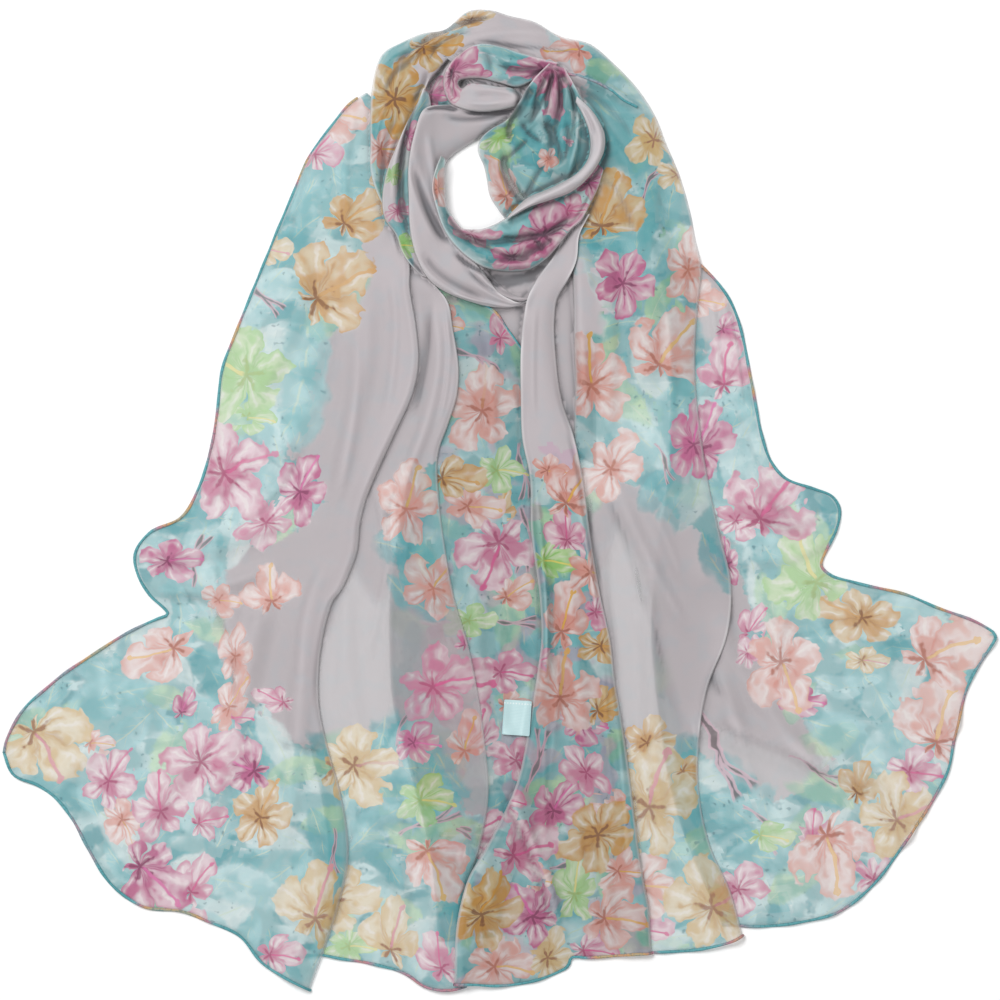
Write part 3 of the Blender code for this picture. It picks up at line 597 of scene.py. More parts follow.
def motif_places(corners, motifs, covered, count=2):
    """Each face corner's place in the foremost motifs that cover its face, with their kinds."""
    layers = np.full((count, *corners.shape[:2], 3), FAR_AWAY)
    middles, sizes, turns, squeezes, kinds = motifs
    if len(middles) == 0:
        return layers
    centres = corners.mean(axis=1)
    cos, sin = np.cos(turns), np.sin(turns)

    def local(away, index):
        x = (away[..., 0] * cos[index] + away[..., 1] * sin[index]) / sizes[index]
        y = (away[..., 1] * cos[index] - away[..., 0] * sin[index]) / sizes[index] / squeezes[index]
        return x, y

    x, y = local(centres[:, None, :] - middles[None], np.arange(len(middles)))
    covers = covered(x, y, kinds[None, :])
    for layer in layers:
        index = np.argmax(covers, axis=1)
        found = covers[np.arange(len(covers)), index]
        lx, ly = local(corners - middles[index][:, None, :], index[:, None])
        layer[found, :, 0] = lx[found]
        layer[found, :, 1] = ly[found]
        layer[found, :, 2] = kinds[index][found][:, None]
        covers[np.arange(len(covers)), index] = False
    return layers


def scattered_leaves(plan, flat, plain, seed):
    """Leaves over the printed part of a stretch, on a loose grid."""
    rng = np.random.default_rng(seed)
    points, opened = plan.reshape(-1, 2), flat.reshape(-1, 2)
    low, high = points.min(0), points.max(0)
    counts = np.ceil((high - low) / LEAF_SPACING).astype(int) + 1
    grid = np.stack(np.meshgrid(np.arange(counts[0]), np.arange(counts[1])), -1).reshape(-1, 2)
    places = low + (grid + rng.uniform(-LEAF_SCATTER, LEAF_SCATTER, grid.shape)) * LEAF_SPACING
    nearest = np.array([np.argmin(((points - place) ** 2).sum(1)) for place in places])
    keep = np.linalg.norm(points[nearest] - places, axis=1) < LEAF_OFF_CLOTH
    keep &= plain.ravel()[nearest] * AREA_FADE < LEAF_ON_PLAIN
    nearest = rng.permutation(nearest[keep])
    sizes = rng.uniform(*LEAF_SIZES, len(nearest))
    turns = rng.uniform(0, 2 * np.pi, len(nearest))
    kinds = (rng.integers(0, len(LEAF_DYES), len(nearest)) + 0.5) / len(LEAF_DYES)
    return opened[nearest], sizes, turns, np.ones(len(nearest)), kinds


def placed_motifs(rows, motif, kind_names, plan, flat, seed):
    """A table's motifs as arrays, moved from where they lie on the board to where they are on the cloth."""
    motifs = [motif(*row) for row in rows]
    points, opened = plan.reshape(-1, 2), flat.reshape(-1, 2)
    middles = np.array([(each.x * MM, each.y * MM) for each in motifs]).reshape(-1, 2)
    nearest = [np.argmin(((points - middle) ** 2).sum(1)) for middle in middles]
    if motifs:
        middles = middles + opened[nearest] - points[nearest]
    sizes = np.array([each.size for each in motifs]) * MM
    turns = np.radians([each.turn for each in motifs])
    squeezes = np.array([each.squeeze for each in motifs])
    chances = np.random.default_rng(seed).uniform(0.1, 0.9, len(motifs))
    kinds = np.array([kind_names.index(each.kind) for each in motifs]) + chances
    return middles, sizes, turns, squeezes, kinds / len(kind_names)


def print_on(
    mesh, quads, plan, flat, seed, blooms=(), leaves=(), twigs=(), plains=(), singles=(), layered=False
):
    """Gives a stretch its flat cloth map, its areas, and the places of its blooms, leaves and twigs.

    Its plains are areas of plain grey and its singles are one ply thick, each given by its corners.
    """
    corners = flat.reshape(-1, 2)[quads]
    cloth = mesh.uv_layers.new(name="cloth")
    cloth.data.foreach_set("uv", (corners / CLOTH_UNIT).ravel())
    plain = area_depth(plan, plains)
    mark_points(mesh, "plain_depth", plain)
    least = LAYERED_DEPTH if layered else DOUBLED_DEPTH
    mark_points(mesh, "single_depth", area_depth(plan, singles, least))
    scattered = scattered_leaves(plan, flat, plain, seed)
    by_hand = placed_motifs(leaves, Leaf, list(LEAF_DYES), plan, flat, LEAF_SEED + seed)
    leafage = [np.concatenate(pair) for pair in zip(by_hand, scattered)]
    flowers = placed_motifs(blooms, Bloom, list(BLOOM_DYES), plan, flat, BLOOM_SEED + seed)
    wood = placed_motifs(twigs, Twig, ["brown"], plan, flat, TWIG_SEED + seed)
    layers = {}
    layers["front_bloom"], layers["back_bloom"] = motif_places(corners, flowers, bloom_covers)
    layers["front_leaf"], layers["back_leaf"] = motif_places(corners, leafage, leaf_covers)
    layers["twig"] = motif_places(corners, wood, twig_covers, 1)[0]
    for name, places in layers.items():
        mesh.attributes.new(name, "FLOAT_VECTOR", "CORNER").data.foreach_set("vector", places.ravel())
    shown = {name: places[:, 0, 2] < FAR_AWAY for name, places in layers.items()}
    bordered = (plain.ravel()[quads].min(axis=1) < BORDER_DEPTH) | shown["front_leaf"]
    material = np.where(bordered, LEAFY, PLAIN)
    material = np.where(shown["front_bloom"], FLOWERED, material)
    material = np.where(shown["back_bloom"] | shown["twig"], CROWDED, material)
    mesh.polygons.foreach_set("material_index", material)


class Dye:
    """A shader value that works in Python sums."""

    def __init__(self, socket):
        self.socket = socket
        self.tree = socket.id_data

    def sum(self, operation, *others):
        """One step of a sum, on this value and those that it takes besides."""
        return shader_node(self.tree, "Math", {"operation": operation}, dict(enumerate([self, *others])))

    def __add__(self, other):
        return self.sum("ADD", other)

    def __sub__(self, other):
        return self.sum("SUBTRACT", other)

    def __mul__(self, other):
        return self.sum("MULTIPLY", other)

    def __truediv__(self, other):
        return self.sum("DIVIDE", other)

    def __pow__(self, other):
        return self.sum("POWER", other)

    def __rsub__(self, other):
        return self * -1 + other

    __radd__ = __add__
    __rmul__ = __mul__

    def between(self, low, high):
        """Kept from going below low or above high."""
        return self.sum("MAXIMUM", low).sum("MINIMUM", high)

    def fades(self, low, high):
        """0 up to low and 1 from high on, or the other way round where low is the larger."""
        settings = {"interpolation_type": "SMOOTHSTEP"}
        return shader_node(self.tree, "MapRange", settings, {0: self, 1: low, 2: high})

    def parts(self):
        """The three values of a place."""
        made = shader_node(self.tree, "SeparateXYZ", {}, {0: self})
        return [Dye(part) for part in made.socket.node.outputs]


def shader_node(tree, kind, settings, inputs, output=0):
    """Any shader node, by its type, its settings, and its sockets' values or links."""
    made = tree.nodes.new("ShaderNode" + kind)
    for name, value in settings.items():
        if name == "stops":
            ramp = made.color_ramp
            while len(ramp.elements) < len(value):
                ramp.elements.new(1)
            for element, (place, color) in zip(ramp.elements, value):
                element.position = place
                element.color = (*color, 1)
        elif name == "steps":
            made.color_ramp.interpolation = value
        else:
            setattr(made, name, value)
    for name, value in inputs.items():
        if isinstance(value, Dye):
            tree.links.new(value.socket, made.inputs[name])
        elif isinstance(value, tuple):
            made.inputs[name].default_value = (*value, 1)
        else:
            made.inputs[name].default_value = value
    return Dye(made.outputs[output])


def marked(tree, name):
    """A value that each point of the cloth carries."""
    return shader_node(tree, "Attribute", {"attribute_name": name}, {}, 2)


def over(below, color, cover):
    """One dye over another, as far as cover says."""
    return shader_node(cover.tree, "Mix", {"data_type": "RGBA"}, {0: cover, 6: below, 7: color}, 2)


def mottled(place, size, detail=1.0, distortion=0.0):
    """Soft blotches of about this size on the cloth, about nought."""
    inputs = {"Vector": place, "Scale": 1 / size, "Detail": detail, "Distortion": distortion}
    return shader_node(place.tree, "TexNoise", {"noise_dimensions": "2D"}, inputs) - 0.5


def by_kind(kind, colors):
    """One of these colours, by the motif's kind."""
    stops = [(i / len(colors), color) for i, color in enumerate(colors)]
    return shader_node(kind.tree, "ValToRGB", {"steps": "CONSTANT", "stops": stops}, {0: kind})


def motif_spot(tree, layer):
    """A layer's places on its motifs, as three values: along, across and kind."""
    return shader_node(tree, "Attribute", {"attribute_name": layer}, {}, 1).parts()


def bloom_dye(tree, layer, wander, ragged):
    """A five-petalled bloom, tilted a little, in the layer's own places: its colour and its cover."""
    x, y, kind = motif_spot(tree, layer)
    chance = (kind * len(BLOOM_DYES)).sum("FRACT")
    from_middle = (x * x + y * y) ** 0.5
    along = x + chance * BLOOM_SHIFT
    r = (along * along + y * y) ** 0.5
    angle = y.sum("ARCTAN2", along) + wander * 0.8
    petal_place = (angle * (2.5 / np.pi) + 10.5).sum("FRACT") * 2 - 1
    from_rib = petal_place.sum("ABSOLUTE")
    petal = (petal_place * (np.pi / 2)).sum("COSINE")
    uneven = (angle * 2 + chance * UNEVEN_SHIFT).sum("SINE") * PETAL_UNEVEN
    ruffle = (angle * 12 + wander * 7).sum("SINE") * 0.028
    turned = chance.fades(TURNED_FROM, TURNED_TO) * (1 - along / r) * TURNED_BACK
    tip = petal ** 0.6 * 0.50 + 0.46 + uneven + ruffle + ragged * 0.06 - turned
    depth = from_middle / tip
    cover = depth.fades(1.02, 0.97)
    one_side = (petal_place + wander * 1.8).fades(0.05, 0.95) * 0.75
    flush = (0.55 - r + wander * 2.2).fades(-0.05, 0.45) * 0.90
    rim = depth.fades(0.74, 0.98) * (wander * 4.0 + 0.60).between(0.10, 0.90)
    streaks = petal_place * 4.2 + ragged * 0.5 - wander * 3.2
    waves = streaks.sum("SINE").sum("ABSOLUTE")
    reach = (r + wander * 1.5).fades(0.92, 0.30)
    dabs = waves.fades(0.80, 0.10) * reach * 0.75
    fan = waves.fades(0.26, 0.04) * (r + wander * 1.2).fades(0.62, 0.22)
    glow = streaks.sum("COSINE").sum("ABSOLUTE").fades(0.60, 0.10) * depth.fades(0.25, 0.55)
    gap = from_rib.fades(0.80, 1.0) * r.fades(0.08, 0.20) * depth.fades(1.0, 0.55)
    star = (r / (petal ** 4.0 * 0.26 + 0.05) + ragged * 1.1).fades(1.25, 0.70)
    deep = one_side.sum("MAXIMUM", flush).sum("MAXIMUM", rim).sum("MAXIMUM", dabs)
    color = over(by_kind(kind, PETAL_PALE), PETAL_GLOW, glow * 0.55)
    color = over(color, by_kind(kind, PETAL_DEEP), deep)
    color = over(color, by_kind(kind, PETAL_STROKE), (fan * 0.50).sum("MAXIMUM", gap * 0.45))
    color = over(color, by_kind(kind, PETAL_THROAT), star * 0.78)
    off_stem = (y + along * along * STAMEN_BEND + wander * 0.12).sum("ABSOLUTE")
    stem = off_stem.fades(0.040, 0.026) * along.fades(0.02, 0.10)
    stem = stem * along.fades(STAMEN_REACH + 0.04, STAMEN_REACH)
    head = (off_stem * off_stem + (along - STAMEN_REACH) ** 2.0 + ragged * 0.008).fades(0.0065, 0.0045)
    stamen = stem.sum("MAXIMUM", head) * chance.fades(0.20, 0.30)
    color = over(color, by_kind(kind, STAMEN), stamen * 0.90)
    return color, cover.sum("MAXIMUM", stamen)


def leaf_dye(tree, layer, wander, ragged):
    """A pointed leaf with pale veins, in the layer's own places: its colour and its cover."""
    x, y, kind = motif_spot(tree, layer)
    side = y + x * x * LEAF_BEND - LEAF_ASIDE + wander * 0.10
    off = side.sum("ABSOLUTE")
    half = (1 - x * x).sum("MAXIMUM", 0.0) ** LEAF_POINT * (LEAF_BREADTH - x * LEAF_TAPER) + ragged * 0.07
    cover = (off - half).fades(0.05, -0.08)
    midrib = off.fades(0.030, 0.010)
    ribs = ((x * 0.8 - off) * 4.0 + wander * 1.2).sum("FRACT") - 0.5
    ribs = ribs.sum("ABSOLUTE").fades(0.07, 0.02) * off.fades(0.34, 0.05)
    light = (wander * 3.0 + side.fades(-0.15, 0.20) * 0.8).between(0.0, 1.0)
    color = over(by_kind(kind, LEAF_WASH), by_kind(kind, LEAF_LIGHT), light)
    veins = midrib.sum("MAXIMUM", ribs * 0.6) * (wander * 3.0 + 0.3).between(0.0, 0.6)
    return over(color, LEAF_VEIN, veins), cover


def twig_dye(tree, layer, wander, ragged):
    """A forked brown twig with a pink rim: its colour and its cover."""
    x, y, kind = motif_spot(tree, layer)
    bend = (x * 3.1 + kind * 9).sum("SINE") * 0.10
    main = (y - bend).sum("ABSOLUTE")
    fork = (y - bend + (x - 0.1) * 0.42).sum("ABSOLUTE") + (0.1 - x).sum("MAXIMUM", 0.0)
    knots = ((x * 5.3 + kind * 5).sum("SINE") * 0.5 + 0.5) ** 3.0
    thick = knots * 0.050 + 0.020 + wander * 0.08
    away = main.sum("MINIMUM", fork) - thick + ragged * 0.02
    ends = x.sum("ABSOLUTE").fades(1.0, 0.9)
    color = over(TWIG_PINK, TWIG_BROWN, away.fades(0.0, -0.02))
    return color, away.fades(0.05, 0.03) * ends


def paint_fold_light_and_shade(tree, dye):
    """Paints a highlight along the cloth's folded edges and crests, and paints shade down in its hollows."""
    relief, edge = marked(tree, "relief"), marked(tree, "edge_distance")
    crest = relief.fades(0.05, 0.9) * CREST_HIGHLIGHT_STRENGTH
    dye = over(dye, FOLD_HIGHLIGHT_PAINT, crest.sum("MAXIMUM", edge.fades(0.24, 0.0) * EDGE_HIGHLIGHT_STRENGTH))
    return over(dye, HOLLOW_SHADE_PAINT, relief.fades(-0.12, -0.95) * HOLLOW_SHADE_STRENGTH)


def woven_bump(tree, place):
    """The crossed threads of the chiffon, about three to a millimetre."""
    x, y, _ = place.parts()
    warp = (x * THREADS_EACH_UNIT).sum("SINE")
    weft = (y * THREADS_EACH_UNIT).sum("SINE")
    return shader_node(tree, "Bump", {}, {"Strength": 0.12, "Distance": THREAD_RISE, "Height": warp * weft})


def dyed_chiffon(name, blooms=(), leaves=(), twigs=()):
    """The chiffon, with the layers of motifs that its faces show and none of the others."""
    made, tree, shader = new_material(name)
    cloth_map = shader_node(tree, "UVMap", {"uv_map": "cloth"}, {})
    single_depth = marked(tree, "single_depth")
    height = shader_node(tree, "TexCoord", {}, {}, 3).parts()[2]
    stacked = height.fades(STACKED_FROM, STACKED_TO)
    wander = mottled(cloth_map, WANDER_SIZE)
    dye = over(GROUND_GREY, GROUND_COOL, wander.fades(-0.05, 0.25) * 0.7)
    doubled = single_depth.fades(0.30, -0.25)
    layered = single_depth.fades(-0.25, -0.90)
    cover = doubled * DOUBLED_EXTRA + SINGLE_COVER
    if leaves:
        plain_depth = marked(tree, "plain_depth")
        ragged = mottled(cloth_map, RAGGED_SIZE, 0.0)
        drawn = mottled(cloth_map, DRAWN_SIZE, 0.0)
        streaky = shader_node(tree, "Mapping", {}, {"Vector": cloth_map})
        streaky.socket.node.inputs["Scale"].default_value = WASH_STRETCH
        streaky.socket.node.inputs["Rotation"].default_value = WASH_TURN
        washes = mottled(streaky, 1 / WASH_SCALE, 1.0, WASH_DISTORTION)
        pale = (washes + wander * 0.6).fades(0.00, 0.16) * drawn.fades(-0.30, 0.15)
        deep = (drawn - washes * 0.8 + ragged * 0.3).fades(0.06, 0.24)
        border = over(BORDER_WASH, BORDER_PALE, pale * PALE_STRENGTH)
        border = over(border, BORDER_DEEP, deep * DEEP_STRENGTH)
        printed = (plain_depth + wander * 0.45 + ragged * 0.20).fades(-0.18, -0.30)
        dye = over(dye, border, printed)
        bordered = (plain_depth + wander * 0.6).fades(0.42, 0.06)
        for layer in leaves:
            leaf_color, leaf_cover = leaf_dye(tree, layer, wander, ragged)
            leaf_cover = leaf_cover * bordered
            dye = over(dye, leaf_color, leaf_cover * LEAF_STRENGTH)
            printed = printed.sum("MAXIMUM", leaf_cover)
        tangle = (drawn * 0.8 + wander * 0.5).fades(0.02, 0.14) * layered
        dye = over(dye, TANGLE_LILAC, tangle * TANGLE_STRENGTH)
        flecks = (washes * 0.7 + ragged + layered * 0.05).fades(0.38, 0.45) * bordered * printed
        dye = over(dye, FLECK_DARK, flecks * FLECK_STRENGTH)
        motifs = ((twigs, twig_dye, TWIG_STRENGTH), (blooms, bloom_dye, BLOOM_STRENGTH))
        for layers, motif_dye, strength in motifs:
            for layer in layers:
                motif_color, motif_cover = motif_dye(tree, layer, wander, ragged)
                dye = over(dye, motif_color, motif_cover * strength)
                printed = printed.sum("MAXIMUM", motif_cover)
        brightness = shader_node(tree, "RGBToBW", {}, {"Color": dye})
        inked = brightness.fades(0.50, 0.06) * 0.44 + 0.49 + layered * 0.16
        cover = (inked - cover) * printed + cover
        # Printed cloth that lies high in the stack, or on a layered stretch, gets painted shade: its colour is
        # made darker there.
        shade = stacked.sum("MAXIMUM", layered) * printed
        dye = shader_node(tree, "HueSaturation", {}, {"Value": SHADED_VALUE, "Fac": shade, "Color": dye})
    tree.links.new(paint_fold_light_and_shade(tree, dye).socket, shader.inputs["Base Color"])
    cover = (stacked * (doubled * STACKED_EXTRA + 0.10) + cover).sum("MINIMUM", MOST_COVER)
    tree.links.new(cover.socket, shader.inputs["Alpha"])
    tree.links.new(woven_bump(tree, cloth_map).socket, shader.inputs["Normal"])
    return made


LEAF_LAYERS = ("back_leaf", "front_leaf")
CHIFFONS = [
    dyed_chiffon("plain_chiffon"),
    dyed_chiffon("leafy_chiffon", (), LEAF_LAYERS),
    dyed_chiffon("flowered_chiffon", ("front_bloom",), LEAF_LAYERS),
    dyed_chiffon("crowded_chiffon", ("back_bloom", "front_bloom"), LEAF_LAYERS, ("twig",)),
]

wrong_side, _, back_shader = new_material("chiffon_wrong_side")
back_shader.inputs["Base Color"].default_value = WRONG_SIDE_DYE
back_shader.inputs["Alpha"].default_value = WRONG_SIDE_COVER
for side in [made.node_tree.nodes["Principled BSDF"] for made in CHIFFONS] + [back_shader]:
    side.inputs["Roughness"].default_value = 0.6
    side.inputs["Sheen Weight"].default_value = 0.2
    side.inputs["Sheen Roughness"].default_value = 0.4
    side.inputs["Specular IOR Level"].default_value = 0.25


# The rolled hem. The cut edge is rolled twice and sewn down with thread that picks up the border's
# colours, so it is a narrow round cord along each raw edge that shows, a little wavy.
HEM_RADIUS = 0.95 * MM
HEM_RISE = 0.35 * MM
HEM_SWAY = 0.3 * MM
HEM_STEP = 2.5 * MM
HEM_SIDES = 8
SHORT_WAVE, LONG_WAVE = 7 * MM, 17 * MM
SWAY_WAVE = 11 * MM
BEAD_WAVE = 4 * MM
BEAD_SHARE = 0.12
LEAST_HEIGHT = HEM_RADIUS * (1 + BEAD_SHARE + 0.01)
STITCH_DARK = (0.04, 0.15, 0.18)
STITCH_SIZE = 0.0016
THREAD_DYES = [
    (0.30, (0.06, 0.27, 0.30)),
    (0.50, (0.10, 0.34, 0.37)),
    (0.58, (0.42, 0.18, 0.24)),
    (0.66, (0.50, 0.30, 0.12)),
    (0.74, (0.08, 0.32, 0.35)),
]

hem_roll, tree, shader = new_material("hem_roll")
place = shader_node(tree, "TexCoord", {}, {}, 3)
stretches = mottled(place, 0.05) + 0.5
thread = shader_node(tree, "ValToRGB", {"stops": THREAD_DYES}, {0: stretches})
stitches = mottled(place, STITCH_SIZE)
thread = over(thread, STITCH_DARK, stitches.fades(0.02, 0.14) * 0.5)
tree.links.new(thread.socket, shader.inputs["Base Color"])
bump = shader_node(tree, "Bump", {}, {"Strength": 0.5, "Distance": 0.5 * MM, "Height": stitches})
tree.links.new(bump.socket, shader.inputs["Normal"])
shader.inputs["Roughness"].default_value = 0.6


def roll_hem(name, part, line):
    """A rolled hem along one raw edge of a stretch."""
    along = distances_along(line)
    at = np.linspace(0, along[-1], max(int(along[-1] / HEM_STEP), 4) + 1)
    line = np.stack([np.interp(at, along, line[:, i]) for i in range(3)], axis=1)
    ahead = np.gradient(line, axis=0)
    ahead /= np.linalg.norm(ahead, axis=1)[:, None]
    side = np.cross(ahead, (0, 0, 1))
    side /= np.linalg.norm(side, axis=1)[:, None]
    up = np.cross(side, ahead)
    along = distances_along(line)
    wave = np.sin(along / SHORT_WAVE) * 0.25 + np.sin(along / LONG_WAVE + 1) * 0.35
    centre = line + up * ((wave + 0.6) * HEM_RISE)[:, None]
    centre = centre + side * (np.sin(along / SWAY_WAVE) * HEM_SWAY)[:, None]
    centre[:, 2] = np.maximum(centre[:, 2], LEAST_HEIGHT)
    turn = np.linspace(0, 2 * np.pi, HEM_SIDES, endpoint=False)[None, :, None]
    radius = HEM_RADIUS * (1 + BEAD_SHARE * np.sin(along / BEAD_WAVE))
    round_it = np.cos(turn) * side[:, None] + np.sin(turn) * up[:, None]
    rings = centre[:, None] + radius[:, None, None] * round_it
    last, faces = (len(line) - 1) * HEM_SIDES, []
    for i in range(0, last, HEM_SIDES):
        for k in range(HEM_SIDES):
            n = (k + 1) % HEM_SIDES
            faces.append((i + k, i + n, i + HEM_SIDES + n, i + HEM_SIDES + k))
    faces.append(tuple(range(HEM_SIDES))[::-1])
    faces.append(tuple(range(last, last + HEM_SIDES)))
    mesh = smooth_mesh(part, rings, faces)
    mesh.materials.append(hem_roll)
    hem = linked_object(mesh)
    bpy.ops.object.select_all(action="DESELECT")
    hem.select_set(True)
    bpy.context.view_layer.objects.active = hem
    bpy.ops.object.mode_set(mode="EDIT")
    bpy.ops.mesh.select_all(action="SELECT")
    bpy.ops.mesh.normals_make_consistent(inside=False)
    bpy.ops.object.mode_set(mode="OBJECT")
    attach(hem, "root")
    pieces[name]["with"].append(hem)


# Plain cloth at the bottom of the loop. It is the lowest layer, and it shows in the pocket under the
# front band and in the gap between the two ends.
lay_cloth("under_layer", 3 * MM, [
    (-22, 182, 63, 185, 5), (-26, 162, 64, 162, 4), (-20, 136, 65, 136, 3), (-7, 116, 65, 109, 2),
    (3, 92, 65, 78, 1), (10, 68, 65, 51), (14, 48, 65, 24),
], folds=[
    (-23, 158, 3, 148, 33, 160, 6, 6, -6),
], plains=[[
    (-54, 204), (95, 204), (95, 14), (-54, 14),
]])


# Right end, outer part. It comes out from under the wrap, lobes out at the side, and ends in the right
# corner. Its outer edge and its foot are the scarf's own rolled hem.
points = lay_cloth("right_outer_end", 3 * MM, [
    (134, 162, 102, 177), (148, 148, 109, 150), (158, 132, 114, 122, 1), (165, 110, 116, 99, 1),
    (171, 81, 116, 71, 1), (178, 43, 115, 34, 1), (184, 27, 114, 15), (194, 15, 112, -1),
    (214, 7, 109, -18), (226, 2, 107, -32), (231, -7, 106, -43), (229, -20, 105, -53), (221, -36, 104, -63),
    (218, -44, 103, -71), (224, -51, 103, -83), (241, -56, 103, -99), (272, -63, 105, -122),
    (296, -73, 109, -153), (320, -81, 114, -187), (333, -88, 124, -224), (337, -94, 151, -289),
], hem=[
    (337, -94), (333, -101), (319, -124), (309, -163), (305, -183), (298, -197), (284, -220), (267, -245),
    (250, -265), (231, -280), (203, -287), (171, -290), (151, -289),
], folds=[
    (227, -49, 204, -67, 178, -102, 18, 3, 4), (160, 68, 169, 14, 208, -31, 11, 10, 3),
    (218, 0, 190, -14, 150, 14, 10, 10, 4), (226, -24, 197, -38, 151, -41, 8, 10, 4),
    (136, -144, 204, -175, 265, -202, 16, 6, 5), (139, -68, 171, -129, 238, -204, 12, 10, 4),
    (238, -75, 282, -129, 323, -160, 12, 12, 4), (214, -150, 258, -204, 296, -246, 12, 12, 4),
    (184, -197, 209, -245, 230, -289, 11, 11, 4), (146, -95, 163, -163, 197, -272, 10, 11, 4),
    (136, 14, 137, -27, 138, -72, 2, 3, 1.6), (144, 0, 151, -27, 162, -61, 3, 4, -2.4),
    (128, 0, 140, -54, 166, -109, 7, 10, 2.6), (122, -150, 165, -165, 222, -189, 3, 8, 3.6),
    (120, -68, 136, -109, 160, -144, 5, 6, -2.2), (129, -95, 136, -136, 129, -177, 6, 6, 1.6),
    (175, -68, 185, -95, 192, -136, 5, 5, 1.8), (245, -95, 267, -129, 272, -163, 6, 8, 2),
    (272, -95, 292, -122, 302, -150, 5, 6, 1.6), (177, 0, 197, -14, 218, -27, 4, 5, 1.8),
    (151, 136, 160, 102, 165, 54, 3, 5, 1.8), (141, 143, 147, 109, 146, 68, 4, 5, 1.6),
    (165, 48, 177, 20, 197, 0, 4, 5, 1.8), (163, -218, 177, -252, 181, -284, 7, 6, 1.8),
    (238, -224, 252, -238, 265, -245, 4, 5, 1.6), (218, -177, 238, -211, 245, -258, 5, 6, 1.8),
    (258, -136, 279, -177, 286, -204, 5, 6, 1.8), (197, -68, 190, -102, 204, -136, 5, 5, 1.6),
    (227, -68, 242, -95, 238, -129, 5, 6, 1.6), (292, -82, 306, -109, 305, -143, 5, 5, 1.6),
], blooms=[
    (152, 86, 27, "pink", 90, 0.95), (137, 39, 30, "mauve", 80), (181, -5, 38, "pink", 60, 1),
    (212, -49, 37, "lime", 120, 1), (243, -79, 29, "gold", 160, 0.75), (298, -103, 38, "peach", 30, 1),
    (298, -155, 37, "peach", 80, 1), (193, -114, 34, "peach", -60, 0.9),
    (226, -238, 38, "peach", -70, 0.95), (272, -216, 33, "cream", 30, 0.95),
    (243, -194, 24, "gold", 70, 0.7), (136, 136, 20, "peach"), (154, -41, 18, "mauve", 100, 0.55),
    (169, -103, 15, "pink", 60, 0.6), (182, -228, 20, "lime", 0, 0.7), (258, -258, 23, "pink"),
    (323, -85, 16, "cream"), (163, -14, 18, "pink"), (171, -87, 20, "pink", 60, 0.6),
    (204, -136, 18, "mauve", 0, 0.7), (249, -109, 16, "cream", 0, 0.7), (212, -230, 20, "pink", 100, 0.7),
    (163, -265, 23, "pink"), (280, -185, 22, "pink"), (188, 20, 15, "peach", 0, 0.7),
    (155, 116, 16, "mauve"),
], leaves=[
    (204, -41, 35, "green", -120), (184, -41, 27, "turquoise", -60), (163, 34, 27, "aqua", 70),
    (150, 61, 23, "turquoise", 30), (257, -136, 38, "turquoise", -60), (272, -163, 30, "aqua", 20),
    (238, -163, 34, "turquoise", -30), (184, -245, 31, "turquoise", -10), (163, -231, 27, "teal", -30),
    (204, -258, 27, "green", 30), (218, -197, 27, "green", -20), (184, -75, 27, "green", -80),
    (279, -75, 27, "aqua", -10), (292, -190, 23, "turquoise", -50), (136, 82, 20, "turquoise", 60),
    (204, -82, 24, "turquoise", -40),
], twigs=[
    (147, -165, 41, -52), (178, -219, 23, -38), (212, -182, 20, -20), (253, -258, 18, -50),
], plains=[[
    (95, 14), (136, 0), (154, -34), (171, -92), (190, -136), (224, -177), (208, -194), (184, -201),
    (160, -184), (136, -165), (114, -122), (102, -41),
], [
    (129, 162), (156, 136), (160, 102), (136, 105), (129, 136),
]], singles=[[
    (124, -146), (150, -155), (177, -165), (204, -175), (238, -201), (224, -224), (136, -218), (120, -163),
], [
    (129, 162), (156, 136), (160, 102), (136, 105), (129, 136),
]], flutter=(1.1, 1.1))
roll_hem("right_outer_end", "right_outer_side_hem", points[:, 0])
roll_hem("right_outer_end", "right_outer_foot_hem", points[-1])


